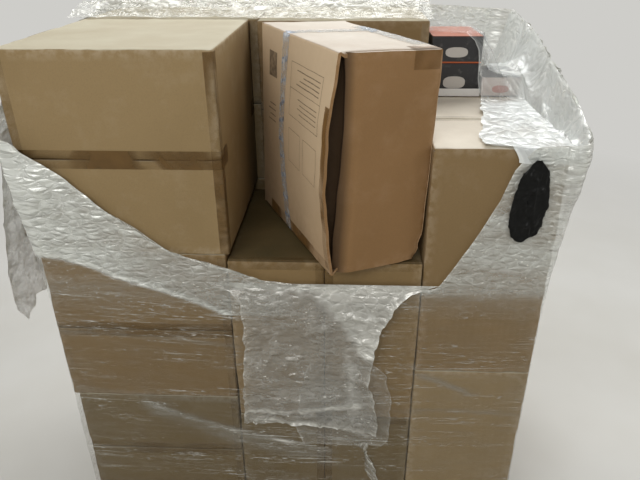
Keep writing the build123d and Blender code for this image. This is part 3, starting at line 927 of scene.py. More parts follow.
def make_leaning_tapes(box):
    """Brown tape on the open edge and the foot, a patch at the top, and the clear band."""
    side, bend, top, left = box.side, box.bend, box.top_start, box.left_start
    # the patch goes on over the top edge, down the closing flap
    x, z = grid(np.linspace(-0.004, -0.064, 12), np.linspace(box.height - 0.040,
                                                             box.height - 0.002, 8))
    points, faces = join([
        box.strip(np.linspace(left + 0.10, left + side - 0.01, 60),
                  np.linspace(-0.0012, 0.020, 7), 81),
        box.strip(np.linspace(left + side - 0.028, left + side + bend + 0.01, 10),
                  np.linspace(0.004, 0.40, 60), 82),
        box.strip(np.linspace(side, top + 0.060, 12), np.linspace(0.002, 0.036, 8), 83),
        (stack(x, -0.0012, z), flipped(grid_faces(8, 12))),
    ])
    brown = tape_material("leaning_tape", srgb(124, 90, 48), hold=0.88)
    make_piece("tape_leaning_brown", "brown_tape", ["tape_patch"], box.place(points), faces,
               brown, tack=np.ones(len(points)))

    # the band wanders along the carton as it goes round it
    start, end = side - 0.10, left + side + bend
    path = [(start, 0.285), (left, 0.285), (left + side / 2, 0.300), (end, 0.262)]
    points, faces = join([
        box.strip(np.linspace(start, end, 130), np.linspace(-0.020, 0.020, 9), 91, 0.0014,
                  lambda s: spline(path, s)),
        box.strip(np.linspace(side - 0.010, top + 0.034, 14), np.linspace(-0.15, 0.15, 9), 95,
                  0.0014, lambda s: 0.20),
    ])
    make_piece("tape_leaning_clear", "clear_tape", ["tape_printed_band"], box.place(points),
               faces, clear_tape_material())


def make_leaning_print(box):
    """Ruled frames and plain bars printed on the left panel."""
    ink = Shade("ink_brown")
    fade_out = ink.noise(90.0, 3.0).ramp((0.35, srgb(108, 92, 74)), (0.65, srgb(150, 131, 106)))
    ink.set(color=fade_out, roughness=0.7, specular=0.2)
    bars = []

    def bar(y0, y1, z0, z1):
        """A filled rectangle on the left panel, in metres from its front and its foot."""
        def spots(low, high):
            return np.linspace(low, high, max(2, int(abs(high - low) / 0.01) + 1))
        s_values, y_values = box.left_start + box.side - spots(z1, z0), spots(y0, y1)
        points = box.shell(*grid(s_values, y_values), box.print_lift)
        bars.append((points, grid_faces(len(y_values), len(s_values))))

    def ruled(y0, y1, z0, z1, line=0.0011):
        bar(y0, y1, z0, z0 + line)
        bar(y0, y1, z1 - line, z1)
        bar(y0, y0 + line, z0, z1)
        bar(y1 - line, y1, z0, z1)

    ruled(0.05, 0.24, 0.30, 0.42)
    bar(0.05, 0.24, 0.362, 0.3632)
    ruled(0.05, 0.135, 0.19, 0.27)
    ruled(0.155, 0.24, 0.19, 0.27)
    for row in range(4):
        bar(0.062, 0.20 - 0.02 * (row % 3), 0.375 + 0.010 * row, 0.3772 + 0.010 * row)
        bar(0.062, 0.17 + 0.015 * (row % 2), 0.315 + 0.010 * row, 0.3168 + 0.010 * row)
        bar(0.350, 0.41 - 0.012 * (row % 2), 0.25 + 0.014 * row, 0.2528 + 0.014 * row)
    bar(0.345, 0.405, 0.36, 0.42)
    points, faces = join(bars)
    make_piece("print_leaning_side", "kraft_board", [], box.place(points), faces, ink.material)


# Retail packs


def pack_material(name, ground, trim, shape):
    """Printed board: a dark or pale ground, trim bands and a soft rounded shape."""
    s = Shade(f"print_{name}")
    low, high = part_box(name)
    place = s.coordinates()
    share = (s.part("Z", place) - low.z) / (high.z - low.z)
    bands = share.math("LESS_THAN", 0.05) + share.math("GREATER_THAN", 0.995)
    across = (s.part("X", place) - (low.x + high.x) / 2) / ((high.x - low.x) * 0.22)
    up = (share - 0.40) / 0.19
    # a rounded rectangle: the sum of the powers is 1 on its outline
    from_middle = [value.math("ABSOLUTE").math("POWER", 2.6) for value in (across, up)]
    inside = (from_middle[0] + from_middle[1]).math("LESS_THAN", 1.0)
    color = s.mix(inside * 0.9, s.mix(bands, ground, trim), shape)
    scuffs = s.noise(50.0, 5.0, 0.7).rise(0.55, 0.78)
    color = s.mix(scuffs * 0.25, color, srgb(150, 145, 138))
    normal = s.bump(s.noise(35.0, 4.0), 0.0008, 0.4)
    return s.set(color=color, roughness=0.34, normal=normal, specular=0.5)


def make_retail_looks():
    """The packs keep their CAD shape and get printed board."""
    dark = (srgb(34, 32, 33), srgb(176, 84, 36), srgb(196, 190, 182))
    looks = {
        "retail_pack_lower": dark,
        "retail_pack_upper": dark,
        "retail_pack_pale": (srgb(206, 196, 190), srgb(70, 66, 66), srgb(188, 140, 132)),
        "retail_tray": (srgb(226, 224, 220), srgb(60, 58, 58), srgb(226, 224, 220)),
    }
    for name, colors in looks.items():
        dress(name, pack_material(name, *colors))


def dress(name, material):
    """Gives a CAD node a material of its own."""
    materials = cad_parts[name].data.materials
    materials.clear()
    materials.append(material)


# Film


class Load:
    """The outline that the film goes round, and its unrolled length.

    q runs round it: the front from its left corner, the right side, the back, the
    left side. out() gives the point and its outward normal.
    """

    corner_radius = 0.012

    def __init__(self):
        low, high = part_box("pallet_skid_middle")
        self.left, self.right = low.x, high.x
        self.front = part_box("pallet_deck_board_1")[0].y
        self.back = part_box("pallet_deck_board_5")[1].y
        self.width, self.depth = self.right - self.left, self.back - self.front
        self.total = 2 * (self.width + self.depth)

    def out(self, q):
        q = np.mod(q, self.total)
        w, d, radius = self.width, self.depth, self.corner_radius
        corner = np.array([0, w, w + d, 2 * w + d, self.total])
        side = np.clip(np.searchsorted(corner, q, side="right") - 1, 0, 3)
        t = q - corner[side]
        length = np.array([w, d, w, d])[side]
        starts = np.array([[self.left, self.front], [self.right, self.front],
                           [self.right, self.back], [self.left, self.back]])
        run = np.array([[1, 0], [0, 1], [-1, 0], [0, -1]])
        normal = np.array([[0, -1], [1, 0], [0, 1], [-1, 0]])
        points = starts[side] + run[side] * t[:, None]
        # the normal turns round each corner, and the corner itself is rounded
        near_end = np.clip(1 - (length - t) / radius, 0, 1)[:, None]
        near_start = np.clip(1 - t / radius, 0, 1)[:, None]
        n = normal[side] + normal[(side + 1) % 4] * near_end + normal[(side + 3) % 4] * near_start
        n /= np.linalg.norm(n, axis=1)[:, None]
        return points - n * (near_end**2 + near_start**2) * radius * 0.25, n

    def values(self, step):
        """Values of q round the load, closer at the corners."""
        corners = np.cumsum([0, self.width, self.depth, self.width, self.depth])
        spots = [np.linspace(0, self.total, int(self.total / step))]
        spots += [corner + np.linspace(-0.016, 0.016, 9) for corner in corners]
        q = np.unique(np.round(np.concatenate(spots), 5))
        return q[(q >= 0) & (q <= self.total)]

    def wrapped(self, q, height):
        """Points with q on a circle, so that noise meets itself once round."""
        angle = q / self.total * 2 * math.pi
        radius = self.total / (2 * math.pi)
        return stack(radius * np.cos(angle), radius * np.sin(angle), height)


# where the tight turns end and the slack ones begin
TIGHT_TOP, LOOSE_FOOT = 0.886, 0.800
# the torn top edge of the film round the load: q, height
FILM_TOP = [
    (0.00, 1.262), (0.03, 1.228), (0.09, 1.172), (0.17, 1.094), (0.24, 1.036), (0.315, 0.976),
    (0.386, 0.953), (0.451, 0.932), (0.53, 0.903), (0.60, 0.892), (0.72, 0.884), (0.90, 0.880),
    (0.945, 0.890), (1.01, 1.004), (1.06, 1.116), (1.085, 1.195), (1.12, 1.236), (1.20, 1.246),
    (1.40, 1.285), (1.62, 1.330), (1.80, 1.385), (2.00, 1.420), (2.30, 1.440), (2.80, 1.446),
    (3.20, 1.440), (3.45, 1.400), (3.70, 1.345), (3.90, 1.290), (4.00, 1.262),
]
# how far the slack film stands off at its top edge: q, distance
FILM_SLACK = [
    (0.00, 0.034), (0.10, 0.012), (0.30, 0.006), (0.90, 0.005), (1.18, 0.007), (1.215, 0.034),
    (1.40, 0.060), (1.75, 0.058), (2.00, 0.040), (2.30, 0.024), (2.90, 0.020), (3.20, 0.045),
    (3.50, 0.070), (3.80, 0.075), (3.93, 0.058), (4.00, 0.034),
]
# milky lines on the front, where several turns lie on each other: path as x, z; width; strength
BRIGHT_LINE = [(-0.606, 0.968), (-0.548, 0.958), (-0.503, 0.943), (-0.413, 0.903),
               (-0.296, 0.863), (-0.214, 0.828), (-0.143, 0.791)]
MILKY_LINES = [
    (BRIGHT_LINE, 0.007, 0.36),
    ([(-0.408, 0.510), (-0.317, 0.467), (-0.156, 0.410), (-0.046, 0.384), (0.093, 0.344)],
     0.010, 0.32),
    ([(-0.408, 0.492), (-0.156, 0.384), (0.093, 0.312)], 0.026, 0.20),
    ([(0.311, 0.625), (0.380, 0.602), (0.458, 0.564)], 0.009, 0.28),
    ([(-0.600, 0.740), (-0.300, 0.722), (-0.130, 0.700)], 0.006, 0.14),
    ([(-0.590, 0.545), (-0.330, 0.528), (-0.130, 0.522)], 0.010, 0.12),
    ([(0.260, 0.500), (0.420, 0.508), (0.590, 0.498)], 0.009, 0.12),
]


def film_piece(name, points, rows, material, along, across, veil, fold_glint, *nodes):
    """A film mesh, given row by row, with the values that its material reads."""
    values = {"along": along, "across": across, "veil": np.clip(veil, 0, 1),
              "fold_glint": np.clip(fold_glint, 0, 1)}
    marks = {key: np.broadcast_to(np.ravel(value), len(points)) for key, value in values.items()}
    make_piece(name, "stretch_film", nodes, points, grid_faces(rows, len(points) // rows),
               material, **marks)


def tight_ridges(load, q, z):
    """Height and strength of the level ridges in stretched film; the strength is how brightly they
    shine, a painted highlight.
    """
    total, fold_glint = np.zeros(len(q)), np.zeros(len(q))
    # each layer: seed, tilt, height of a cell, height of a ridge
    for seed, tilt, cell, size in ((11, 0.05, 0.016, 0.0011), (23, -0.09, 0.028, 0.0016),
                                   (37, 0.16, 0.05, 0.0014)):
        sheared = z + tilt * np.sin(q / load.total * 2 * math.pi + seed)
        ridge = 1 - np.abs(value_noise(load.wrapped(q, sheared) / (0.30, 0.30, cell), seed))
        patch = 0.5 + 0.5 * value_noise(load.wrapped(q, z) / (0.22, 0.22, 0.13), seed + 3)
        total += size * ridge**2 * patch
        fold_glint = np.maximum(fold_glint, smoothstep(0.86, 1.0, ridge) * patch)
    return total, fold_glint


def make_tight_film(load):
    """The turns that grip the lower half: level ridges drawn out round the load."""
    low, rows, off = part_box("film_tight_wrap")[0].z, 150, 0.0022
    q, z = grid(load.values(step=0.012), np.linspace(low, TIGHT_TOP, rows))
    points, normal = load.out(q)
    ridges, fold_glint = tight_ridges(load, q, z)
    ragged = 0.004 * fractal(stack(q, 0, 0), 0.05, 7) * (z == low)
    place = np.column_stack([points + normal * (off + ridges)[:, None], z + ragged])
    on_front = q < load.width
    lines = lines_at(MILKY_LINES, load.left + q, z, blur=0.03) * on_front
    corner = fade(q, 0.05) + fade(np.abs(q - load.width), 0.04)
    # the slack film takes over from it at its upper edge
    given_way = (1 - on_front) * smoothstep(LOOSE_FOOT, 0.880, z)
    veil = (0.065 + 0.05 * corner + lines + 0.055 * (1 - on_front)) * (1 - 0.8 * given_way)
    material = film_material("film_tight", glint=0.6, tone=srgb(172, 168, 156), drawn=1.0,
                             grain=(0.05, 0.009))
    # painted highlight: the ridges and the milky lines shine
    film_piece("film_tight_turns", place, rows, material, q, z + 0.03 * np.sin(q * 2), veil,
               0.16 * fold_glint + 0.5 * lines, "film_tight_wrap")


def make_loose_film(load):
    """The upper turns: slack at the sides, torn open at the front."""
    rows, least_off = 72, 0.003
    q, t = grid(load.values(step=0.011), np.linspace(0, 1, rows))
    x = load.left + q
    on_front = q < load.width
    edge_line = spline(FILM_TOP, q)
    ragged = 0.007 * fractal(load.wrapped(q, 0), 0.05, 51, 3) * np.where(on_front, 1.0, 0.4)
    top = edge_line + ragged
    z = LOOSE_FOOT + (top - LOOSE_FOOT) * t
    below = top - z
    slack = spline(FILM_SLACK, q)
    rise = smoothstep(0, 1, (z - LOOSE_FOOT) / np.maximum(edge_line - LOOSE_FOOT, 0.05))
    looseness = np.clip(slack / 0.06, 0.0, 1.0) * rise
    # fine crumples near the torn edge, and wide ones where the film hangs free
    fine = creases(load.wrapped(q, z), (0.06, 0.06, 0.05), 61, 3)
    wide = creases(load.wrapped(q, z), (0.10, 0.10, 0.13), 67, 3)
    edge_pull = fade(below, 0.12)
    # on the front the film is pulled into folds: above the bright line, and at the right
    above_line = smoothstep(-0.012, 0.010, z - spline(BRIGHT_LINE, x))
    pulled = above_line * (0.55 + 0.75 * smoothstep(-0.20, -0.60, x)) * smoothstep(0.02, -0.05, x)
    pulled += (x > 0.30) * 0.70 * smoothstep(0.850, 0.900, z)
    pulled *= on_front
    level = (1 - looseness) * (1 - np.clip(pulled, 0, 1))
    ridges, ridge_glint = tight_ridges(load, q, z)
    off = 0.0045 + slack * rise**1.2 + ridges * level + 0.030 * (wide - 0.35) * looseness
    off += 0.007 * (fine - 0.3) * edge_pull * (0.25 + looseness)
    points, normal = load.out(q)
    place = np.column_stack([points + normal * np.maximum(off, least_off)[:, None],
                             z + 0.006 * (wide - 0.4) * looseness])
    lines = lines_at(MILKY_LINES, x, z, blur=0.03) * on_front
    veil = np.where(on_front, 0.085 * smoothstep(LOOSE_FOOT, 0.860, z) + 0.52 * pulled + lines,
                    0.02 + 0.11 * smoothstep(LOOSE_FOOT, 0.88, z)
                    + 0.20 * smoothstep(0.84, 1.08, z) + 0.22 * looseness)
    # painted highlight: how brightly the folds shine
    fold_glint = 0.25 * smoothstep(0.50, 0.85, fine) * edge_pull * np.where(on_front, pulled, 1)
    fold_glint += 0.5 * lines + 0.16 * ridge_glint * level
    fold_glint += smoothstep(0.50, 0.78, wide) * looseness * 0.6
    # the torn edge is whitish: rolled up film, with a painted highlight
    torn = (fade(below, np.where(on_front, 0.0045, 0.026))
            * np.where(on_front, 0.55 + 0.35 * pulled, 1.0))
    material = film_material("film_loose", seed=3.0, glint=2.0, facets=0.5,
                             tone=srgb(226, 228, 220), drawn=0.10, grain=(0.024, 0.018),
                             gloss=0.75)
    film_piece("film_loose_turns", place, rows, material, q * 0.8, z, veil,
               np.maximum(fold_glint, torn), "film_loose_wrap")
    strand("film_edge_rope", [(-0.455, 1.106), (-0.428, 1.085), (-0.357, 1.033), (-0.287, 0.976),
                              (-0.214, 0.951), (-0.149, 0.930), (-0.068, 0.902), (0.0, 0.893)],
           widths=(0.006, 0.010, 0.006), turns=9.0, y=load.front - 0.010, veil=0.45)


def strand(name, path, widths, turns, y, veil):
    """Film gathered into a narrow twisted strand along a path on the front."""
    rows = 110
    t = np.linspace(0, 1, rows)
    path_x, path_z = (np.interp(t, np.linspace(0, 1, len(path)), values) for values in zip(*path))
    slope = np.arctan2(np.gradient(path_z), np.gradient(path_x))[:, None]
    twist = (t * turns)[:, None]
    t, u = np.meshgrid(t, np.linspace(-0.5, 0.5, 9), indexing="ij")
    spread = u * np.interp(t, (0, 0.5, 1), widths)
    pleat = 0.0016 * np.sin(u * 19 + t * 40)
    flat = spread * np.cos(twist) + pleat
    out = spread * np.sin(twist) * 0.7 + pleat
    points = stack(path_x[:, None] - flat * np.sin(slope), y - out,
                   path_z[:, None] + flat * np.cos(slope))
    length = np.hypot(np.diff(path_x), np.diff(path_z)).sum()
    # painted highlight: bright stripes along the twisted strand
    film_piece(name, points, rows, film_material(name, seed=5.0), t * length, u * 0.02, veil,
               0.5 + 0.5 * np.sin(u * 14 + t * 30))


# folds in the torn end: path as x, z; width; strength
TORN_FOLDS = [
    ([(-0.145, 0.890), (-0.040, 0.885), (0.120, 0.880), (0.300, 0.884)], 0.010, 0.45),
    ([(-0.138, 0.502), (-0.060, 0.500), (0.030, 0.510), (0.180, 0.534)], 0.007, 0.45),
    ([(-0.138, 0.478), (-0.060, 0.472), (0.030, 0.466), (0.120, 0.446), (0.210, 0.420)],
     0.005, 0.40),
    ([(-0.100, 0.445), (0.020, 0.430), (0.110, 0.408), (0.200, 0.398)], 0.005, 0.25),
]


def gathers(x, z):
    """Where the torn end is gathered towards its upper right, and how bright its folds are."""
    # a wedge that opens from the right edge at mid height up to the corner
    low = spline([(0.04, 0.870), (0.110, 0.800), (0.150, 0.720), (0.185, 0.680)], x)
    gather = smoothstep(-0.02, 0.03, z - low) * smoothstep(0.03, 0.10, x)
    upright = np.exp(-((x - 0.150 + 0.10 * (z - 0.6)) / 0.016) ** 2)
    upright *= smoothstep(0.47, 0.55, z) * smoothstep(0.74, 0.66, z)
    return gather, 0.30 * upright + lines_at(TORN_FOLDS, x, z, blur=0.02)


def hanging_sheet(name, nodes, left_edge, right_edge, low, high, y, seed, material, columns,
                  rows, crumple, slant, veil):
    """A hanging piece of film with curled, ragged sides; each edge is a list of z, x.

    slant is how far its foot sinks towards the right.
    """
    u, v = grid(np.linspace(0, 1, columns), np.linspace(0, 1, rows))
    z = low + (high - low) * v
    left, right = spline(left_edge, z), spline(right_edge, z)
    ragged = 0.006 * fractal(stack(z, seed, 0), 0.03, seed, 3)
    x = left + ragged + (right - left - 2 * ragged) * u
    foot = 0.5 * (1 + np.cos(math.pi * np.clip(v / 0.25, 0, 1)))
    drop = 0.007 * fractal(stack(x, 0, 3), 0.08, seed + 1, 2)
    z = z + foot * (drop - slant * smoothstep(0.08, 0.22, x))
    side = np.minimum(u, 1 - u)
    hem = fade(side, 0.05) + 0.35 * fade(v, 0.06)
    folds = creases(stack(x, 0, z), (0.045, 1, 0.065), seed + 2, 3)
    big = fractal(stack(x, 0, z), (0.12, 1, 0.16), seed + 4, 2)
    out = 0.004 + crumple * folds + crumple * 0.6 * (big + 0.6) + crumple * hem * (0.4 + folds)
    out = out * smoothstep(1.0, 0.86, v) + 0.003
    gather, lines = gathers(x, z)
    # painted highlight: the folds, the curled sides and the foot shine
    fold_glint = 0.16 * smoothstep(0.55, 0.85, folds) + 0.55 * fade(side, 0.010)
    fold_glint += 0.55 * gather * smoothstep(0.40, 0.75, folds) + 0.5 * fade(v, 0.012)
    film_piece(name, stack(x, y - out, z), rows, material, x * 0.8, z * 0.9,
               veil + 0.42 * gather + 0.6 * lines, fold_glint + lines, *nodes)


def make_torn_film(load):
    """The torn end at the front: two layers and a twisted tail."""
    material = film_material("film_torn", seed=7.0, glint=1.5, facets=0.32,
                             tone=srgb(192, 190, 181), gloss=0.6)
    y = load.front - 0.0055
    left_edge = [(0.45, -0.139), (0.467, -0.138), (0.583, -0.133), (0.697, -0.123),
                 (0.800, -0.120), (0.847, -0.124), (0.872, -0.150), (0.895, -0.205)]
    right_edge = [(0.43, 0.214), (0.50, 0.222), (0.56, 0.208), (0.615, 0.192), (0.675, 0.199),
                  (0.768, 0.215), (0.840, 0.246), (0.872, 0.286), (0.895, 0.345)]
    hanging_sheet("film_torn_front", ["film_torn_end"], left_edge, right_edge, low=0.462,
                  high=0.895, y=y, seed=141, material=material, columns=76, rows=96,
                  crumple=0.012, slant=0.03, veil=0.38)
    left_edge = [(0.385, 0.02), (0.45, 0.0), (0.60, 0.02), (0.66, 0.04)]
    right_edge = [(0.385, 0.235), (0.41, 0.253), (0.544, 0.253), (0.63, 0.236), (0.66, 0.20)]
    hanging_sheet("film_torn_behind", [], left_edge, right_edge, low=0.385, high=0.66,
                  y=y + 0.001, seed=157, material=material, columns=44, rows=50,
                  crumple=0.006, slant=0.0, veil=0.20)
    strand("film_torn_tail", [(0.178, 0.396), (0.188, 0.360), (0.205, 0.300), (0.222, 0.242)],
           widths=(0.036, 0.030, 0.022), turns=4.0, y=y - 0.012, veil=0.34)


def make_back_film(load):
    """Film gathered over the top of the back row."""
    columns, rows = 150, 60
    x, v = grid(np.linspace(load.left - 0.045, 0.352, columns), np.linspace(0, 1, rows))
    wobble = fractal(stack(x, 0, 0), 0.09, 201, 3)
    left_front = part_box("carton_left_top")[1].y - 0.006
    centre_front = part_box("carton_back_centre_top")[0].y + 0.003
    beside = smoothstep(-0.155, -0.145, x)
    front_edge = left_front + (centre_front - left_front) * beside
    front_edge += 0.012 * wobble * (1 - 0.85 * beside)
    y = front_edge + (load.back + 0.022 - front_edge) * v
    folds = creases(stack(x, y, 0), (0.13, 0.040, 1), 211, 3)
    small = creases(stack(x, y, 0), (0.05, 0.018, 1), 215, 2)
    rise = smoothstep(0.0, 0.35, v) * smoothstep(1.0, 0.80, v)
    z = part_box("carton_back_left_top")[1].z + 0.003 + 0.026 * rise * (0.8 + 0.4 * wobble)
    z += folds * (0.004 + 0.018 * rise) + 0.004 * small - 0.02 * np.clip((v - 0.93) / 0.07, 0, 1)
    # painted highlight: the folds and the front edge shine
    fold_glint = 0.7 * smoothstep(0.50, 0.80, folds) + 0.3 * smoothstep(0.55, 0.8, small)
    fold_glint += 0.7 * fade(v, 0.012)
    material = film_material("film_gathered", seed=9.0, facets=0.7, tone=srgb(222, 222, 212),
                             gloss=0.6)
    film_piece("film_back_fold", stack(x, y, z), rows, material, x, y, 0.30 + 0.12 * folds, fold_glint)


def settle(support, start, steps=260, pull=0.0006):
    """A slack sheet over a height map: it sinks and smooths but stays above support.

    Its last column is held.
    """
    z = start.copy()
    for _ in range(steps):
        padded = np.pad(z, 1, mode="edge")
        mean = (padded[:-2, 1:-1] + padded[2:, 1:-1] + padded[1:-1, :-2] + padded[1:-1, 2:]) / 4
        z = np.maximum(mean - pull, support)
        z[:, -1] = start[:, -1]
    return z


def support_height(x, y, nodes, clearance=0.004, nothing=0.9):
    """The top of the nodes under each point, or far below where there is none."""
    height = np.full(x.shape, nothing)
    for name in nodes:
        low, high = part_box(name)
        inside = ((x > low.x - clearance) & (x < high.x + clearance)
                  & (y > low.y - clearance) & (y < high.y + clearance))
        height = np.where(inside, np.maximum(height, high.z + clearance), height)
    return height


def make_right_veil(load):
    """The slack film drawn over the right top carton and the retail packs."""
    rows, columns, overhang = 132, 64, 0.034
    # one row of u and one column of run, so that their sums are grids
    u = np.linspace(0, 1, columns)
    run = np.linspace(-overhang, load.depth + 0.030, rows)[:, None]
    y_line = load.front - 0.008 + np.maximum(run, 0)
    hang = np.maximum(-run, 0)
    inner = spline([(-0.41, 0.478), (-0.395, 0.418), (-0.34, 0.418), (-0.18, 0.452),
                    (0.0, 0.486), (0.05, 0.476), (0.075, 0.400), (0.12, 0.352), (0.42, 0.345)],
                   y_line)
    inner = inner + 0.010 * on_grid(fractal, run, 0, 0, 0.05, 231) + 0.6 * hang
    q = load.width + (y_line - load.front).clip(0, load.depth)
    outer = load.right + 0.004 + spline(FILM_SLACK, q)
    edge_z = spline(FILM_TOP, q) + 0.004 - hang
    x = inner + (outer - inner) * u
    y = y_line + 0 * u
    support = support_height(x, np.maximum(y, load.front + 0.002), [
        "carton_right_top", "carton_back_right_top", "retail_pack_upper", "retail_pack_lower",
        "retail_pack_pale", "retail_tray"])
    rise = u**0.7
    start = np.maximum(support, edge_z * rise + (support[:, :1] + 0.01) * (1 - rise))
    start[:, -1:] = edge_z
    z = settle(support, start)
    free = np.clip((z - support) / 0.03, 0, 1)
    steps = np.hypot(np.diff(x, axis=1), np.diff(z, axis=1))
    length = np.cumsum(np.pad(steps, ((0, 0), (1, 0))), axis=1)
    folds = on_grid(creases, length, run, 0, (0.08, 0.15, 1), 241, 3)
    small = on_grid(creases, length, run, 0, (0.035, 0.07, 1), 245, 2)
    z += folds * (0.0025 + 0.022 * free) + 0.0015 * small + 0.006 * fade(u, 0.06) * folds
    z[:, -1:] = edge_z
    z -= hang
    y -= 0.012 * (hang / overhang) ** 0.5 * folds
    # painted highlight: the rim and the folds shine
    rim = fade(length[:, -1:] - length, 0.020)
    fold_glint = 0.55 * smoothstep(0.46, 0.78, folds) + 0.2 * smoothstep(0.5, 0.8, small) + 0.6 * rim
    fold_glint += 0.7 * fade(u, 0.02) + 0.5 * fade(run + overhang, 0.006)
    # on top of the cartons the film is nearly opaque: milky layers, with a painted highlight of
    # the glare there
    on_top = smoothstep(0.03, -0.05, y) * smoothstep(0.30, 0.06, free * 0.6)
    veil = 0.72 * on_top + (1 - on_top) * (0.09 + 0.41 * smoothstep(0.25, 0.75, u)) + 0.22 * rim
    material = film_material("film_veil", seed=12.0, glint=1.7, facets=0.8,
                             tone=srgb(234, 238, 236), gloss=0.45)
    film_piece("film_right_veil", stack(x, y, z), rows, material, length * 0.8, y * 0.35, veil,
               fold_glint)


def make_left_flap(load):
    """Loose film that hangs off the left side, clear of the cartons."""
    columns, rows = 46, 70
    u, v = grid(np.linspace(0, 1, columns), np.linspace(0, 1, rows))
    y = load.front - 0.004 + 0.36 * u
    foot = 0.770 + 0.10 * u + 0.012 * fractal(stack(u * 9, 0, 0), 1.0, 261, 3)
    z = foot + (1.255 + 0.06 * u - foot) * v
    folds = creases(stack(0, y, z), (1, 0.05, 0.16), 263, 3)
    reach = spline([(0.77, 0.060), (0.80, 0.088), (0.90, 0.088), (0.99, 0.072), (1.26, 0.018)], z)
    off = reach * (1 - 0.35 * u) + 0.014 * (folds - 0.45)
    # painted highlight: the folds and the edges shine
    fold_glint = 0.7 * smoothstep(0.5, 0.8, folds) + 0.8 * fade(u, 0.02) + 0.7 * fade(v, 0.015)
    material = film_material("film_hanging", seed=15.0, glint=1.2, facets=0.6,
                             tone=srgb(238, 237, 232), gloss=0.3)
    film_piece("film_left_flap", stack(load.left - np.clip(off, 0.010, 0.094), y, z), rows,
               material, y, z * 0.8, 0.58, fold_glint)


def make_black_scrap(load):
    """A crumpled scrap of black film caught in the clear film."""
    s = Shade("black_film")
    normal = s.bump(s.noise(14.0, 4.0, 0.5, distortion=1.2), 0.008, 0.7)
    tone = s.noise(40.0, 4.0).ramp((0.3, srgb(2, 2, 1)), (0.7, srgb(10, 10, 8)))
    s.set(color=tone, roughness=0.38, normal=normal, specular=0.20)
    low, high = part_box("film_black_scrap")
    columns, rows = 30, 60
    u, v = grid(np.linspace(-1, 1, columns), np.linspace(0, 1, rows))
    left = spline([(0, 0.30), (0.05, 0.10), (0.2, 0.0), (0.5, 0.0), (0.85, 0.18), (1, 0.50)], v)
    right = spline([(0, 0.40), (0.08, 0.80), (0.2, 0.90), (0.5, 1.0), (0.88, 0.86), (1, 0.62)], v)
    x = low.x + (high.x - low.x) * (left + (right - left) * (u + 1) / 2)
    z = low.z + (high.z - low.z) * v
    torn = 0.003 * fractal(stack(x, 0, z), 0.014, 287, 3) * u**4
    folds = creases(stack(x, 0, z), (0.018, 1, 0.04), 281, 3)
    y = load.front - 0.017 - 0.009 * folds * (1 - 0.5 * u**2)
    points = stack(x + torn * np.sign(u), y, z + torn * (2 * v - 1))
    make_piece("film_black_crumple", "black_film", ["film_black_scrap"], points,
               grid_faces(rows, columns), s.material)


# Pallet


def make_pallet_looks():
    """The pallet's own CAD boards get sawn wood, with the grain along each board."""
    woods = {axis: wood_material(f"wood_{'XYZ'[axis]}", axis) for axis in (X, Y)}
    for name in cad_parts:
        if name.startswith("pallet_"):
            dress(name, woods[Y if "stringer" in name else X])


# Camera, light and surroundings

# what shows of the floor far off, and of the world behind it
PALE = srgb(206, 205, 201)

# each light: place, target, size, power
LIGHTS = {
    "light_behind": ((0.2, 2.3, 3.9), (0, 0.1, 1.2), (4.0, 2.2), 140),
    "light_front": ((-0.8, -3.0, 3.1), (0, -0.4, 1.4), (2.6, 1.4), 60),
    "light_right": ((3.8, -0.4, 2.6), (0, 0, 0.9), (1.8, 1.8), 34),
    "light_left": ((-3.8, -0.9, 2.6), (0, 0, 0.9), (1.8, 1.8), 14),
}


def make_camera():
    """The photograph's camera, fitted to the load's edges."""
    focal_pixels, image_width = 590.56, 640
    position = Vector((0.1215, -1.6047, 1.6286))
    yaw, pitch, roll = -0.0442, 0.4748, 0.005
    ahead = Vector((math.sin(yaw) * math.cos(pitch), math.cos(yaw) * math.cos(pitch),
                    -math.sin(pitch)))
    level = Vector((math.cos(yaw), -math.sin(yaw), 0))
    plumb = ahead.cross(level)
    right = math.cos(roll) * level + math.sin(roll) * plumb
    down = math.cos(roll) * plumb - math.sin(roll) * level
    data = bpy.data.cameras.new("camera")
    data.sensor_width = 36.0
    data.lens = focal_pixels / image_width * data.sensor_width
    camera = bpy.data.objects.new("camera", data)
    turn = Matrix((right, -down, -ahead)).transposed().to_4x4()
    camera.matrix_world = Matrix.Translation(position) @ turn
    bpy.context.scene.collection.objects.link(camera)
    bpy.context.scene.camera = camera


def make_lights():
    for name, (place, target, size, power) in LIGHTS.items():
        data = bpy.data.lights.new(name, "AREA")
        data.shape = "RECTANGLE"
        data.size, data.size_y = size
        data.energy = power
        lamp = bpy.data.objects.new(name, data)
        lamp.location = place
        lamp.rotation_euler = (Vector(target) - lamp.location).to_track_quat("-Z", "Y").to_euler()
        bpy.context.scene.collection.objects.link(lamp)


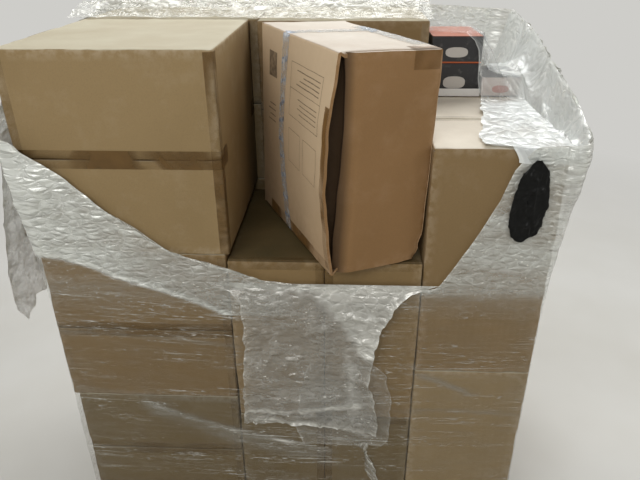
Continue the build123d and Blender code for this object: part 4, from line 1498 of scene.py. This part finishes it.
def make_floor():
    """A pale floor that bends up into a backdrop."""
    s = Shade("studio_floor")
    color = s.noise(1.4, 3.0).ramp((0.3, srgb(202, 200, 193)), (0.7, srgb(211, 210, 205)))
    s.set(color=color, roughness=0.75, specular=0.2)
    # far off the floor is evenly pale
    away = s.out("Value", "ShaderNodeVectorMath", s.coordinates(), operation="LENGTH")
    glow = s.out("Emission", "ShaderNodeEmission", PALE)
    board = Value(s, s.principled.outputs[0])
    blend = s.out("Shader", "ShaderNodeMixShader", (away / 5.0).rise(0.32, 0.80), board, glow)
    s.feed(s.tree.nodes["Material Output"].inputs["Surface"], blend)
    half, bend, top, steps = 9.0, 1.6, 5.0, 12
    profile = [(-half, 0.0), (half / 2, 0.0)]
    for i in range(1, steps + 1):
        turn = math.pi / 2 * i / steps
        profile.append((half / 2 + bend * math.sin(turn), bend * (1 - math.cos(turn))))
    profile.append((half / 2 + bend, top))
    points = np.array([(x, y, z) for y, z in profile for x in (-half, half)])
    faces = [(2 * i, 2 * i + 1, 2 * i + 3, 2 * i + 2) for i in range(len(profile) - 1)]
    new_mesh("studio_sweep", points, faces, s.material)


class Sky(Shade):
    """The world's nodes, added and linked like those of a material."""

    def __init__(self, name):
        self.world = bpy.data.worlds.new(name)
        self.world.use_nodes = True
        self.tree = self.world.node_tree


def make_world():
    """Soft light all round. Seen and in reflections the world is as pale as the floor."""
    s = Sky("studio")
    dim = s.tree.nodes["Background"]
    s.feed(dim.inputs["Color"], (0.86, 0.86, 0.84))
    s.feed(dim.inputs["Strength"], 0.19)
    rays = s.add("ShaderNodeLightPath").outputs
    camera, glossy, passed = (Value(s, rays[f"Is {kind} Ray"])
                              for kind in ("Camera", "Glossy", "Transmission"))
    shown = camera.math("MAXIMUM", glossy).math("MAXIMUM", passed)
    pale = s.out("Background", "ShaderNodeBackground", PALE)
    light = s.out("Shader", "ShaderNodeMixShader", shown, Value(s, dim.outputs[0]), pale)
    s.feed(s.tree.nodes["World Output"].inputs["Surface"], light)
    bpy.context.scene.world = s.world


make_cartons()
make_leaning_carton()
make_retail_looks()
make_pallet_looks()
load = Load()
make_tight_film(load)
make_loose_film(load)
make_torn_film(load)
make_back_film(load)
make_right_veil(load)
make_left_flap(load)
make_black_scrap(load)
make_camera()
make_floor()
make_lights()
make_world()

bpy.context.scene.view_settings.view_transform = "Standard"
